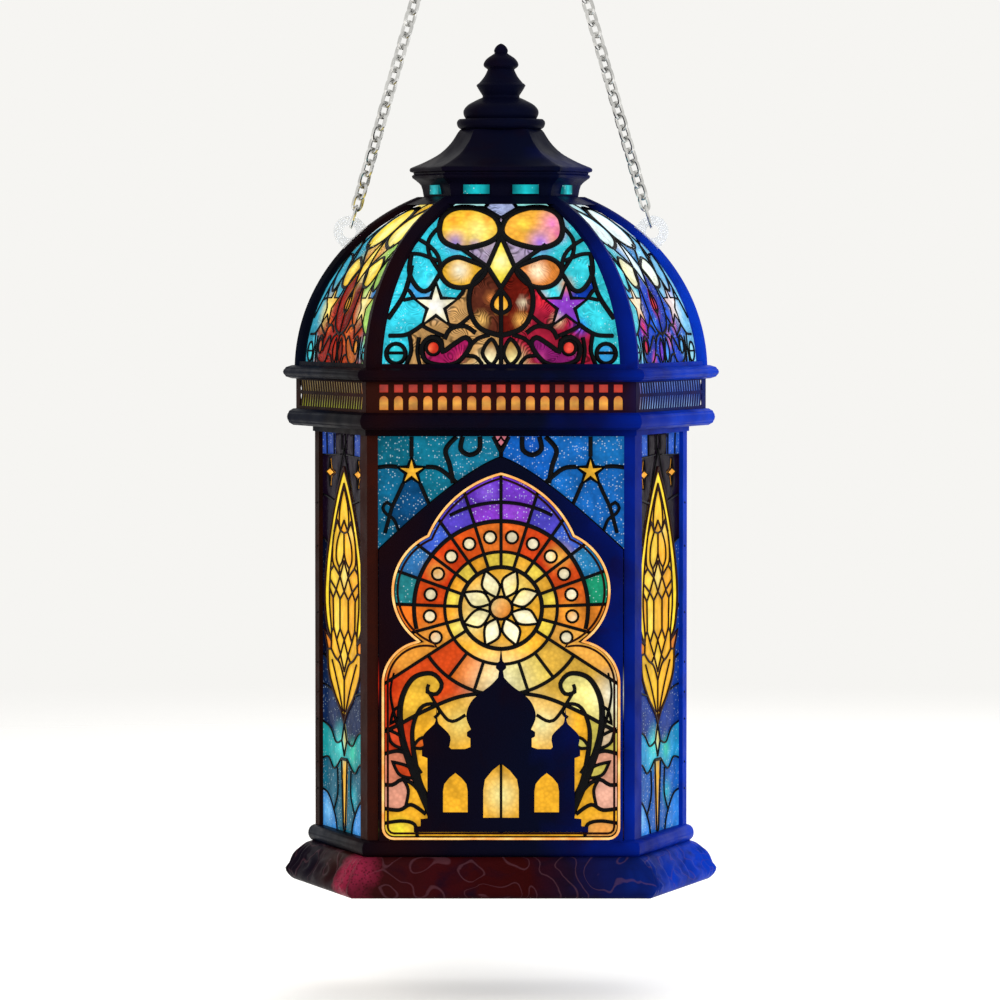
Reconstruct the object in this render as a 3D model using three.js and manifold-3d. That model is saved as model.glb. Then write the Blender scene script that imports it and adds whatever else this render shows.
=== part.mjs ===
// A six-sided decorative lantern with stained-glass windows, a ribbed dome and a turned finial.
// It hangs by two clear eyelets, a chain that runs up from each, and one ring at the top.
// Millimetres, +Z up. The origin is the centre of the hanging ring, and the front faces -Y.
import * as THREE from "three";
import { mergeVertices } from "three/addons/utils/BufferGeometryUtils.js";
import Module from "manifold-3d";

const wasm = await Module();
wasm.setup();

// Plan of the body: a hexagon with wide front and back faces and a corner at each side.
const BODY_HALF_WIDTH = 56;
const BODY_FRONT_HALF = 39.2;
const BODY_HALF_DEPTH = 48;
// How far the eaves reach beyond the body, at the side corners and at the front.
const EAVE_SIDE_REACH = 5.5;
const EAVE_FRONT_REACH = 5;

// Heights of the storeys, from the ground up.
const FOOT_HEIGHT = 11.8;
const MOULDING_HEIGHT = 3.8;
const BODY_HEIGHT = 119.6;
const RAIL_HEIGHT = 1.8;
const LOWER_CORNICE_HEIGHT = 5;
const FRIEZE_HEIGHT = 9;
const UPPER_CORNICE_HEIGHT = 4;

// The dome is an ellipse in section, whose centre lies a little below the upper cornice's top.
// It is cut off below its crown, where the roof cap sits.
const DOME_RISE = 56.6;
const DOME_CENTRE_DROP = 1.6;
const DOME_CROWN_DROP = 4.5;

// Walls and clearances.
const CLEARANCE = 0.3;
const SHEET = 1.2;
const GLASS = 2;
const LIP = 1.2;
const LIP_HEIGHT = 3;
const DOME_SHEET = 1.4;
const DOME_GLASS = 1.7;

// Corner posts: how far each leg reaches along its face.
const POST_FRONT_LEG = 3.2;
const POST_SIDE_LEG = 6.5;
const POST_END_LEG = 4;

// Bullnose edges stand this far out of the plan that they run round.
const MOULDING_NOSE = 1.8;
const LOWER_NOSE = 2.6;
const UPPER_NOSE = 3.7;
const FOOT_SPREAD = 7.9;

// Pierced frieze.
const FRIEZE_SHEET = 1.2;
const LINER = 1;
const PIERCING_PITCH = 6.4;
const PIERCING_WIDTH = 3.6;
const PIERCING_MARGIN = 1.3;
const SQUARE_PIERCING_HEIGHT = 2.1;
const ARCH_PIERCING_HEIGHT = 3.4;

// Window arches: three stacked circles on each side of the centre line, heights above the deck.
const ARCH_PROUD = 0.8;
const ARCH_MARGIN = 1.3;
const ARCH_FOOT_RADIUS = 3;
const SHOULDER_RADIUS = 12.3;
const SHOULDER_LEVEL = 46.9;
const LOBE_RADIUS = 17.6;
const LOBE_OFFSET = 13.9;
const LOBE_LEVEL = 74.1;
const POINT_RADIUS = 31.2;
const POINT_OFFSET = 7.6;
const POINT_LEVEL = 78;
const BAND_APEX_LEVEL = 113.2;
const BAND_SPRING_LEVEL = 85.9;
const BAND_TURN = 12;
const BAND_TURN_LEVEL = 108.9;

// Lead cames on the arched windows: a rose with rays over a pavilion, and two stars over the band.
const CAME_WIDTH = 1.3;
const CAME_HEIGHT = 0.7;
const CAME_ROOT = 0.5;
const ROSE_LEVEL = 69;
const ROSE_RADIUS = 12;
const RAY_RING_RADIUS = 25.5;
const RAY_COUNT = 8;
const RAY_START = -33;
const STAR_OFFSET = 26.2;
const STAR_LEVEL = 109;
const STAR_RADIUS = 4.4;
const STAR_NOTCH = 0.4;

// Side windows: an almond of tracery over the glass, with a stem below it.
const ALMOND_HALF_WIDTH = 17;
const ALMOND_FOOT_LEVEL = 34.5;
const ALMOND_HEIGHT = 75;
const ALMOND_INNER_SHARE = 0.55;
const ALMOND_BAR = 1.5;
const TRACERY_BAR = 1.1;
const TRACERY_THICKNESS = 1.2;

// Back door.
const DOOR_GAP = 0.4;
const DOOR_STILE = 2.6;
const HINGE_RADIUS = 1.7;
const HINGE_PIN_RADIUS = 0.8;
const HINGE_OUT = 2.2;
const HINGE_IN = 0.8;
const KNUCKLE = 4;
const HINGE_LEVELS = [19, 101];
const KNOB_LEVEL = 59.6;
const KNOB_INSET = 30.5;
const KNOB_RADIUS = 3;

// Roof cap and finial.
const CAP_NECK_HALF_WIDTH = 23.2;
const CAP_THROAT_HALF_WIDTH = 26.4;
const CAP_BRIM_HALF_WIDTH = 27.5;
const CAP_TOP_HALF_WIDTH = 11.8;
const CAP_NECK_HEIGHT = 6.4;
const CAP_BRIM_HEIGHT = 1.9;
const CAP_SKIRT_HEIGHT = 11.9;
const CAP_WALL = 1.6;
const FINIAL_HEIGHT = 25.8;
const STUD_RADIUS = 1.5;
const NUT_RADIUS = 3.6;
const NUT_HEIGHT = 2.5;
const BRIDGE_WIDTH = 7;
const BRIDGE_THICKNESS = 2;

// Eyelets, jump rings, chain and hanging ring.
const EYELET_LEVEL = 38.2;
const EYELET_STAND_OFF = 2.6;
const EYELET_RADIUS = 4.8;
const EYELET_HOLE = 2;
const EYELET_THICKNESS = 1.8;
const EYELET_FOOT = 2;
const JUMP_RADIUS = 3.4;
const JUMP_WIRE = 0.45;
const LINK_PITCH = 3.6;
const LINK_WIDTH = 3.9;
const LINK_WIRE = 0.45;
const LINK_BITE = 0.12;
const LINKS_PER_SIDE = 41;
const LINK_SIDES = 8;
const LINK_SECTION_SIDES = 3;
const END_LINK_RADIUS = 2.7;
const END_LINK_WIRE = 0.5;
const END_LINK_OFFSET = 1.7;
const HANGING_RADIUS = 9;
const HANGING_WIRE = 1.2;

// Battery candle and its cup.
const CANDLE_RADIUS = 15;
const CANDLE_HEIGHT = 52;
const CUP_WALL = 0.8;
const CUP_HEIGHT = 11;
const CUP_FLANGE = 4.6;
const CUP_FLOOR = 1;
const BATTERY_BAY_DEPTH = 4;
const BATTERY_BAY_WALL = 2.1;
const BATTERY_COVER = 1.6;
const COVER_RECESS = 0.4;
const SWITCH_TRAVEL = 4.2;
const SWITCH_LENGTH = 3.4;
const SWITCH_WIDTH = 2.8;
const SWITCH_INSET = 5.7;
const SWITCH_FLANGE = 0.9;
const FLAME_HEIGHT = 17;

// Levels that the pieces share.
const deck = FOOT_HEIGHT + MOULDING_HEIGHT;
const railUnderside = deck + BODY_HEIGHT;
const corniceUnderside = railUnderside + RAIL_HEIGHT;
const friezeFoot = corniceUnderside + LOWER_CORNICE_HEIGHT;
const friezeTop = friezeFoot + FRIEZE_HEIGHT;
const domeFoot = friezeTop + UPPER_CORNICE_HEIGHT;
const domeCentre = domeFoot - DOME_CENTRE_DROP;
const domeTop = domeCentre + DOME_RISE - DOME_CROWN_DROP;
const brimFoot = domeTop + CAP_NECK_HEIGHT;
const skirtFoot = brimFoot + CAP_BRIM_HEIGHT;
const capTop = skirtFoot + CAP_SKIRT_HEIGHT;
const lipDepth = SHEET + CLEARANCE + GLASS + CLEARANCE;

const body = {
  halfWidth: BODY_HALF_WIDTH,
  frontHalf: BODY_FRONT_HALF,
  halfDepth: BODY_HALF_DEPTH,
};
const eave = {
  halfWidth: BODY_HALF_WIDTH + EAVE_SIDE_REACH,
  frontHalf: BODY_FRONT_HALF,
  halfDepth: BODY_HALF_DEPTH + EAVE_FRONT_REACH,
};

// Finishes, one material for each kind of surface.
const finish = (color, roughness, metalness, opacity = 1) =>
  new THREE.MeshStandardMaterial({ color, roughness, metalness, opacity, transparent: opacity < 1 });
const darkMetal = finish(0x0b0f2a, 0.4, 0.7);
const brownMetal = finish(0x2a0d0c, 0.45, 0.6);
const castMetal = finish(0x1a0d18, 0.55, 0.5);
const arcadeGlass = finish(0xf28a1c, 0.25, 0, 0.9);
const sideGlass = finish(0x2a6fb0, 0.25, 0, 0.9);
const domeGlass = finish(0x2fb4d8, 0.25, 0, 0.9);
const amberGlass = finish(0xd8501e, 0.3, 0, 0.9);
const steel = finish(0xc8c8c4, 0.25, 1);
const clearAcrylic = finish(0xffe9d6, 0.1, 0, 0.5);
const wax = finish(0xf4ead2, 0.6, 0);
const lampPlastic = finish(0xffd27a, 0.3, 0);
const whitePlastic = finish(0xe8e6e0, 0.5, 0);
const blackPlastic = finish(0x161616, 0.5, 0);

// A closed geometry as a solid for cutting and joining.
function solid(geometry) {
  const bare = geometry.index ? geometry.toNonIndexed() : geometry.clone();
  bare.deleteAttribute("normal");
  bare.deleteAttribute("uv");
  const merged = mergeVertices(bare, 1e-4);
  const made = new wasm.Manifold(
    new wasm.Mesh({
      numProp: 3,
      vertProperties: merged.attributes.position.array,
      triVerts: new Uint32Array(merged.index.array),
    }),
  );
  return made;
}

// A solid's surface as a geometry.
function surface(made) {
  const mesh = made.getMesh();
  const geometry = new THREE.BufferGeometry();
  geometry.setAttribute("position", new THREE.BufferAttribute(new Float32Array(mesh.vertProperties), 3));
  geometry.setIndex(Array.from(mesh.triVerts));
  geometry.computeVertexNormals();
  return geometry;
}

const join = (...geometries) => surface(geometries.map(solid).reduce((a, b) => a.add(b)));
const cut = (geometry, ...cutters) =>
  surface(cutters.map(solid).reduce((left, tool) => left.subtract(tool), solid(geometry)));

function named(name, geometry, material) {
  const mesh = new THREE.Mesh(geometry, material);
  mesh.name = name;
  return mesh;
}

// A box between two corners.
function block(low, high) {
  const size = high.map((v, i) => v - low[i]);
  const middle = high.map((v, i) => (v + low[i]) / 2);
  return new THREE.BoxGeometry(...size).translate(...middle);
}

// An upright cylinder between two levels.
function drum(radius, low, high, sides) {
  return new THREE.CylinderGeometry(radius, radius, high - low, sides)
    .rotateX(Math.PI / 2)
    .translate(0, 0, (high + low) / 2);
}

// A turned piece: its profile is a list of [radius, level] that starts and ends on the axis, top first.
function turned(profile, sides) {
  const points = [...profile].reverse().map(([r, z]) => new THREE.Vector2(r, z));
  return new THREE.LatheGeometry(points, sides).rotateX(Math.PI / 2);
}

// The same plan with every face moved out by a distance, or in if it is negative.
function grow(plan, distance) {
  const lean = (plan.halfWidth - plan.frontHalf) / plan.halfDepth;
  const halfWidth = plan.halfWidth + distance * Math.hypot(1, lean);
  const halfDepth = plan.halfDepth + distance;
  return { halfWidth, halfDepth, frontHalf: halfWidth - lean * halfDepth };
}

const shrink = (plan, share) => ({
  halfWidth: plan.halfWidth * share,
  frontHalf: plan.frontHalf * share,
  halfDepth: plan.halfDepth * share,
});

// Corners of a plan, counter-clockwise from above: front left, front right, right, back right,
// back left and left.
function corners({ halfWidth: w, frontHalf: f, halfDepth: d }) {
  return [
    [-f, -d],
    [f, -d],
    [w, 0],
    [f, d],
    [-f, d],
    [-w, 0],
  ].map(([x, y]) => new THREE.Vector2(x, y));
}

// A closed surface over rings of points. Each ring joins the next, and the ends are closed by fans,
// or join each other in an endless one.
function skin(rings, endless) {
  const sides = rings[0].length;
  const positions = rings.flat().flatMap((p) => [p.x, p.y, p.z]);
  const index = [];
  const spans = endless ? rings.length : rings.length - 1;
  for (let i = 0; i < spans; i += 1) {
    const next = (i + 1) % rings.length;
    for (let j = 0; j < sides; j += 1) {
      const k = (j + 1) % sides;
      index.push(i * sides + j, i * sides + k, next * sides + k);
      index.push(i * sides + j, next * sides + k, next * sides + j);
    }
  }
  if (!endless) {
    const last = (rings.length - 1) * sides;
    for (let j = 1; j < sides - 1; j += 1) {
      index.push(0, j + 1, j);
      index.push(last, last + j, last + j + 1);
    }
  }
  const geometry = new THREE.BufferGeometry();
  geometry.setAttribute("position", new THREE.Float32BufferAttribute(positions, 3));
  geometry.setIndex(index);
  return geometry;
}

const ringAt = (plan, z) => corners(plan).map((p) => new THREE.Vector3(p.x, p.y, z));

// A solid hexagon whose plan changes with height, from [plan, level] pairs, lowest first.
const hexStack = (levels) => skin(levels.map(([plan, z]) => ringAt(plan, z)), false);

// A ring round a plan, from the [plan, level] pairs of its section, which run counter-clockwise
// where outside is on the right.
const hexRing = (section) => skin(section.map(([plan, z]) => ringAt(plan, z)), true);

// The section of a bullnose edge, from its lower to its upper corner.
function nose(plan, out, low, high) {
  const steps = 4;
  const flat = out * 0.35;
  const points = [];
  for (let i = 0; i <= steps; i += 1) {
    const angle = -Math.PI / 2 + (Math.PI * i) / steps;
    const level = (low + high) / 2 + ((high - low) / 2) * Math.sin(angle);
    points.push([grow(plan, flat + (out - flat) * Math.cos(angle)), level]);
  }
  return points;
}

// Where a face of a plan lies: its middle, the way along it, the way out of it and its length.
function face(plan, side) {
  const points = corners(plan);
  const from = points[side];
  const to = points[(side + 1) % 6];
  const along = to.clone().sub(from).normalize();
  return {
    middle: from.clone().add(to).multiplyScalar(0.5),
    along,
    out: new THREE.Vector2(along.y, -along.x),
    length: from.distanceTo(to),
  };
}

// Stands a flat mesh, drawn with x along the face and y up, on a face, with its back at a depth below it.
function onFace(mesh, plan, side, depth) {
  const { middle, along, out } = face(plan, side);
  const basis = new THREE.Matrix4().makeBasis(
    new THREE.Vector3(along.x, along.y, 0),
    new THREE.Vector3(0, 0, 1),
    new THREE.Vector3(out.x, out.y, 0),
  );
  mesh.quaternion.setFromRotationMatrix(basis);
  mesh.position.set(middle.x - out.x * depth, middle.y - out.y * depth, 0);
  return mesh;
}

const plate = (shape, thickness, curveSegments = 3) =>
  new THREE.ExtrudeGeometry(shape, { depth: thickness, bevelEnabled: false, curveSegments });

const shapeOf = (points) => new THREE.Shape(points.map(([x, y]) => new THREE.Vector2(x, y)));

const rectangle = (left, low, right, high) =>
  shapeOf([
    [left, low],
    [right, low],
    [right, high],
    [left, high],
  ]);

// Foot: a cast plinth with upright lobes round it, hollow below, and an opening through its top.
const FOOT_LOBES_FRONT = 6;
const FOOT_LOBES_SIDE = 4;
const FOOT_LOBE_DEPTH = 1.5;
const FOOT_WALL_IN = 3.4;
const FOOT_CEILING = 2.6;
const FOOT_TOP_OPENING = 5;

function footRing(out, lobeDepth, z) {
  const points = corners(grow(body, out));
  const ring = [];
  points.forEach((from, side) => {
    const to = points[(side + 1) % 6];
    const along = to.clone().sub(from).normalize();
    const inward = new THREE.Vector2(-along.y, along.x);
    const lobes = side % 3 === 0 ? FOOT_LOBES_FRONT : FOOT_LOBES_SIDE;
    const steps = lobes * 3;
    for (let i = 0; i < steps; i += 1) {
      const valley = 1 - Math.abs(Math.sin((Math.PI * i) / 3));
      const p = from.clone().lerp(to, i / steps);
      if (i > 0) p.addScaledVector(inward, lobeDepth * valley);
      ring.push(new THREE.Vector3(p.x, p.y, z));
    }
  });
  return ring;
}

function foot() {
  const levels = [
    [FOOT_SPREAD - 1.3, 0, 0],
    [FOOT_SPREAD, 0, 0.13],
    [FOOT_SPREAD - 0.6, 0.2, 0.28],
    [FOOT_SPREAD - 1.4, 1, 0.5],
    [FOOT_SPREAD - 3.4, 1, 0.8],
    [FOOT_SPREAD - 6.4, 0.3, 1],
  ];
  const outer = skin(
    levels.map(([out, lobe, height]) => footRing(out, lobe * FOOT_LOBE_DEPTH, height * FOOT_HEIGHT)),
    false,
  );
  const hollow = hexStack([
    [grow(body, FOOT_SPREAD - 1.3 - FOOT_WALL_IN), -1],
    [grow(body, FOOT_SPREAD - 3.4 - FOOT_WALL_IN), FOOT_HEIGHT - FOOT_CEILING],
  ]);
  const throat = hexStack([
    [grow(body, -FOOT_TOP_OPENING), 1],
    [grow(body, -FOOT_TOP_OPENING), FOOT_HEIGHT + 1],
  ]);
  return named("foot", cut(outer, hollow, throat), castMetal);
}

// Base moulding: a bullnose ring with a lip that stands behind the glass and a ledge for the floor.
const LEDGE = 4;
const FLOOR_SHEET = 1.2;

function baseMoulding() {
  const lipOut = grow(body, -lipDepth);
  const lipIn = grow(body, -lipDepth - LIP);
  const ledge = grow(body, -lipDepth - LIP - LEDGE);
  const section = [
    [ledge, FOOT_HEIGHT],
    ...nose(body, MOULDING_NOSE, FOOT_HEIGHT, deck),
    [lipOut, deck],
    [lipOut, deck + LIP_HEIGHT],
    [lipIn, deck + LIP_HEIGHT],
    [lipIn, deck - FLOOR_SHEET],
    [ledge, deck - FLOOR_SHEET],
  ];
  return named("base_moulding", hexRing(section), darkMetal);
}

function floorPlate() {
  const plan = grow(body, -lipDepth - LIP - CLEARANCE);
  const sheet = hexStack([
    [plan, deck - FLOOR_SHEET],
    [plan, deck],
  ]);
  return named("floor_plate", sheet, brownMetal);
}

// A corner post: a folded strip round one corner of the body, with a leg along each face.
function postShape(corner, legBefore, legAfter) {
  const outer = corners(body);
  const inner = corners(grow(body, -SHEET));
  const along = (points, step, length) => {
    const from = points[corner];
    const way = points[(corner + step + 6) % 6].clone().sub(from).normalize();
    return from.clone().addScaledVector(way, length);
  };
  const fold = (step) => {
    const way = outer[(corner + step + 6) % 6].clone().sub(outer[corner]).normalize();
    return inner[corner].clone().sub(outer[corner]).dot(way);
  };
  return new THREE.Shape([
    along(outer, -1, legBefore),
    outer[corner],
    along(outer, 1, legAfter),
    along(inner, 1, legAfter - fold(1)),
    inner[corner],
    along(inner, -1, legBefore - fold(-1)),
  ]);
}

function postBody(corner) {
  const atSide = corner % 3 === 2;
  const frontFirst = corner === 1 || corner === 4;
  const before = atSide ? POST_END_LEG : frontFirst ? POST_FRONT_LEG : POST_SIDE_LEG;
  const after = atSide ? POST_END_LEG : frontFirst ? POST_SIDE_LEG : POST_FRONT_LEG;
  return plate(postShape(corner, before, after), BODY_HEIGHT).translate(0, 0, deck);
}

// Door hinge: knuckles in line on an upright pin, just outside the back face.
const hingeX = BODY_FRONT_HALF - POST_FRONT_LEG + HINGE_IN;
const hingeY = BODY_HALF_DEPTH + HINGE_OUT;
const leafEdge = BODY_FRONT_HALF - POST_FRONT_LEG - DOOR_GAP;
const PIN_GAP = 0.3;
const LEAF_THICKNESS = SHEET + ARCH_PROUD;

function knuckle(low, high) {
  return cut(
    drum(HINGE_RADIUS, low, high, 10).translate(hingeX, hingeY, 0),
    drum(HINGE_PIN_RADIUS + PIN_GAP, low - 1, high + 1, 10).translate(hingeX, hingeY, 0),
  );
}

// The plate that carries a knuckle, with the pin's bore taken out of it.
function knuckleArm(fromX, toX, fromY, low, high) {
  return cut(
    block([fromX, fromY, low], [toX, hingeY + HINGE_PIN_RADIUS, high]),
    drum(HINGE_PIN_RADIUS + PIN_GAP, low - 1, high + 1, 10).translate(hingeX, hingeY, 0),
  );
}

function postKnuckles() {
  return HINGE_LEVELS.flatMap((level) =>
    [-1, 1].flatMap((way) => {
      const middle = deck + level + way * (KNUCKLE + PIN_GAP);
      const low = middle - KNUCKLE / 2;
      const high = middle + KNUCKLE / 2;
      const arm = knuckleArm(hingeX, BODY_FRONT_HALF - 0.2, BODY_HALF_DEPTH - SHEET / 2, low, high);
      return [knuckle(low, high), arm];
    }),
  );
}

function posts() {
  const names = ["front_left", "front_right", "right", "back_right", "back_left", "left"];
  return names.map((name, corner) => {
    const strip = postBody(corner);
    const shape = name === "back_right" ? join(strip, ...postKnuckles()) : strip;
    return named(`${name}_post`, shape, corner === 0 || corner === 5 ? brownMetal : darkMetal);
  });
}

function hingePins() {
  return HINGE_LEVELS.map((level, i) => {
    const half = KNUCKLE * 1.5 + PIN_GAP;
    const low = deck + level - half - 0.6;
    const top = deck + level + half + PIN_GAP;
    const head = drum(HINGE_PIN_RADIUS + 0.6, top, top + 1, 10);
    const pin = join(drum(HINGE_PIN_RADIUS, low, top + 0.5, 10), head).translate(hingeX, hingeY, 0);
    return named(i === 0 ? "lower_hinge_pin" : "upper_hinge_pin", pin, steel);
  });
}

// A strip of constant width along the points of a curve.
function strip(points, width) {
  const edge = (way) =>
    points.map((point, i) => {
      const before = points[Math.max(i - 1, 0)];
      const after = points[Math.min(i + 1, points.length - 1)];
      const along = after.clone().sub(before).normalize();
      return new THREE.Vector2(point.x - along.y * way, point.y + along.x * way);
    });
  return new THREE.Shape([...edge(-width / 2), ...edge(width / 2).reverse()]);
}

const curveThrough = (points, count) =>
  new THREE.SplineCurve(points.map(([x, y]) => new THREE.Vector2(x, deck + y))).getPoints(count);

// A five-pointed star about the origin.
const starPoints = (radius) =>
  Array.from({ length: 10 }, (_, i) => {
    const angle = Math.PI / 2 + (i * Math.PI) / 5;
    const reach = i % 2 ? radius * STAR_NOTCH : radius;
    return new THREE.Vector2(reach * Math.cos(angle), reach * Math.sin(angle));
  });

// Cames over the band: on each side a star with a lead up from its tip and a bent one beside it.
function fieldCames(way) {
  const x = way * STAR_OFFSET;
  const level = deck + STAR_LEVEL;
  const ring = (radius) => starPoints(radius).map((p) => new THREE.Vector2(p.x + x, p.y + level));
  const star = new THREE.Shape(ring(STAR_RADIUS + CAME_WIDTH));
  star.holes.push(new THREE.Path(ring(STAR_RADIUS)));
  const turn = [way * (STAR_OFFSET - 11.4), level - 1.6];
  return [
    star,
    bar([x, level + STAR_RADIUS], [x, level + STAR_RADIUS + 2.8], CAME_WIDTH),
    bar([x - way * STAR_RADIUS, level + 1.4], turn, CAME_WIDTH),
    bar(turn, [way * (STAR_OFFSET - 10), level + 7.2], CAME_WIDTH),
  ];
}

// Cames inside the arch: the rose, its rays and outer ring, and a hill line and a stem on each side.
function archCames() {
  const centre = deck + ROSE_LEVEL;
  const rose = new THREE.Shape();
  rose.absarc(0, centre, ROSE_RADIUS + CAME_WIDTH / 2, 0, Math.PI * 2);
  const eye = new THREE.Path();
  eye.absarc(0, centre, ROSE_RADIUS - CAME_WIDTH / 2, 0, Math.PI * 2);
  rose.holes.push(eye);
  const ring = new THREE.Shape();
  const [from, to] = [-8, 188].map((angle) => (angle * Math.PI) / 180);
  ring.absarc(0, centre, RAY_RING_RADIUS + CAME_WIDTH / 2, from, to);
  ring.absarc(0, centre, RAY_RING_RADIUS - CAME_WIDTH / 2, to, from, true);
  const rays = Array.from({ length: RAY_COUNT }, (_, i) => {
    const turn = 180 - 2 * RAY_START;
    const angle = ((RAY_START + (turn * i) / (RAY_COUNT - 1)) * Math.PI) / 180;
    const at = (radius) => [radius * Math.cos(angle), centre + radius * Math.sin(angle)];
    return bar(at(ROSE_RADIUS), at(i % (RAY_COUNT - 1) ? RAY_RING_RADIUS : RAY_RING_RADIUS - 3), CAME_WIDTH);
  });
  const sides = [-1, 1].flatMap((way) => {
    const hill = [[-4.4, 44], [-12, 43], [-22, 39], [-31, 34.2]].map(([u, v]) => [way * u, v]);
    const stem = [[-22.4, 12], [-25.4, 20], [-29, 31], [-29.4, 41], [-26, 48.2], [-20.4, 49.8]];
    return [
      strip(curveThrough(hill, 4), CAME_WIDTH),
      strip(curveThrough(stem.map(([u, v]) => [way * u, v]), 7), CAME_WIDTH * 1.3),
    ];
  });
  return [rose, ring, ...rays, ...sides];
}

// A garden pavilion in outline: a plinth, three lancet arches, a ribbed drum with a dome and two small domes.
function pavilionShape() {
  const shape = new THREE.Shape();
  const y = (level) => deck + level;
  const side = [
    [25.6, 3.4], [25.6, 4.8], [23.6, 4.8], [23.6, 7.2], [21.6, 7.2], [21.6, 25.2], [23.2, 25.2], [23.2, 27.6],
    [22.2, 27.6], [23, 31], [19.3, 35.6], [18.9, 40], [18.5, 35.6], [14.8, 31], [15.4, 27.6],
    [9, 27.6], [8.8, 33.4], [10.2, 37.4], [8.4, 42], [3.2, 46.2], [0.9, 48.6], [1.2, 52], [0, 57.4],
  ];
  const left = side.slice(0, -1).reverse().map(([u, v]) => [-u, v]);
  shape.setFromPoints([...side, ...left].map(([u, v]) => new THREE.Vector2(u, y(v))));
  [[0, 5.2, 7.4, 23.4], [-13.4, 3.6, 9, 20.6], [13.4, 3.6, 9, 20.6]].forEach(([middle, half, sill, head]) => {
    const spring = head - half * 1.5;
    const arch = [
      [-half, sill], [-half, spring], [-half * 0.5, spring + half * 1.1], [0, head],
      [half * 0.5, spring + half * 1.1], [half, spring], [half, sill],
    ];
    shape.holes.push(new THREE.Path(arch.map(([u, v]) => new THREE.Vector2(middle + u, y(v)))));
  });
  return shape;
}

// A pane with its cames and the pavilion raised on its outer side.
function leadedPane(left, low, right, high) {
  const relief = [...archCames(), ...fieldCames(1), ...fieldCames(-1), pavilionShape()];
  const raised = relief.map((shape) =>
    plate(shape, CAME_HEIGHT + CAME_ROOT, 4).translate(0, 0, GLASS - CAME_ROOT),
  );
  return join(plate(rectangle(left, low, right, high), GLASS), ...raised);
}

// Glass stands behind the post legs, on the deck, in front of the lips.
function glassSheets() {
  const names = ["front", "front_right", "back_right", null, "back_left", "front_left"];
  const plan = grow(body, -SHEET - CLEARANCE);
  const behind = grow(body, -SHEET - CLEARANCE - GLASS);
  return names.flatMap((name, side) => {
    if (!name) return [];
    const half = face(behind, side).length / 2 - CLEARANCE;
    const edges = [-half, deck + CLEARANCE, half, railUnderside - CLEARANCE];
    const sheet = side === 0 ? leadedPane(...edges) : plate(rectangle(...edges), GLASS);
    const mesh = named(`${name}_glass`, sheet, side === 0 ? arcadeGlass : sideGlass);
    return [onFace(mesh, plan, side, GLASS)];
  });
}

// The corner where two circles cross, on the right-hand side and at the outer crossing.
function crossing(a, b) {
  const gap = b.centre.clone().sub(a.centre);
  const distance = gap.length();
  const reach = (a.radius ** 2 - b.radius ** 2 + distance ** 2) / (2 * distance);
  const height = Math.sqrt(Math.max(a.radius ** 2 - reach ** 2, 0));
  const unit = gap.divideScalar(distance);
  const foot = a.centre.clone().addScaledVector(unit, reach);
  const across = new THREE.Vector2(unit.y, -unit.x);
  const options = [height, -height].map((h) => foot.clone().addScaledVector(across, h));
  return options[0].x > options[1].x ? options[0] : options[1];
}

const angleAt = (circle, point) => Math.atan2(point.y - circle.centre.y, point.x - circle.centre.x);

// The outline of an arched window: straight sides, a shoulder, a round lobe and a pointed head.
function archPath(half, sill) {
  const circle = (x, level, radius) => ({ centre: new THREE.Vector2(x, deck + level), radius });
  const shoulder = circle(half - SHOULDER_RADIUS, SHOULDER_LEVEL, SHOULDER_RADIUS);
  const lobe = circle(LOBE_OFFSET, LOBE_LEVEL, LOBE_RADIUS);
  const head = circle(-POINT_OFFSET, POINT_LEVEL, POINT_RADIUS);
  const low = crossing(shoulder, lobe);
  const high = crossing(lobe, head);
  const arcs = [
    [shoulder, 0, angleAt(shoulder, low)],
    [lobe, angleAt(lobe, low), angleAt(lobe, high)],
    [head, angleAt(head, high), Math.acos(POINT_OFFSET / POINT_RADIUS)],
  ];
  const r = ARCH_FOOT_RADIUS;
  const path = new THREE.Path();
  path.moveTo(-half + r, sill);
  path.lineTo(half - r, sill);
  path.absarc(half - r, sill + r, r, -Math.PI / 2, 0);
  arcs.forEach(([c, from, to]) => path.absarc(c.centre.x, c.centre.y, c.radius, from, to));
  arcs.reverse().forEach(([c, from, to]) => {
    path.absarc(-c.centre.x, c.centre.y, c.radius, Math.PI - to, Math.PI - from);
  });
  path.absarc(-half + r, sill + r, r, Math.PI, Math.PI * 1.5);
  return path;
}

// The upper edge of the dark band over an arch, from its right spring to its left one.
function bandEdge(half) {
  const apex = new THREE.Vector2(0, deck + BAND_APEX_LEVEL);
  const turn = new THREE.Vector2(BAND_TURN, deck + BAND_TURN_LEVEL);
  const spring = new THREE.Vector2(BODY_FRONT_HALF - POST_FRONT_LEG, deck + BAND_SPRING_LEVEL);
  const samples = new THREE.QuadraticBezierCurve(apex, turn, spring).getPoints(12);
  const inside = samples.filter((p) => p.x < half);
  const before = inside.at(-1);
  const after = samples[inside.length] ?? spring;
  const end = before.clone().lerp(after, (half - before.x) / (after.x - before.x));
  const right = [...inside, end].reverse();
  const left = right
    .slice(0, -1)
    .reverse()
    .map((p) => new THREE.Vector2(-p.x, p.y));
  return [...right, ...left];
}

function frontArch() {
  const half = BODY_FRONT_HALF - POST_FRONT_LEG - CLEARANCE;
  const sill = deck + CLEARANCE;
  const shape = new THREE.Shape([
    new THREE.Vector2(-half, sill),
    new THREE.Vector2(half, sill),
    ...bandEdge(half),
  ]);
  shape.holes.push(archPath(half - ARCH_MARGIN, sill + ARCH_MARGIN));
  const mesh = named("front_arch", plate(shape, LEAF_THICKNESS), darkMetal);
  return onFace(mesh, body, 0, SHEET);
}

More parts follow.
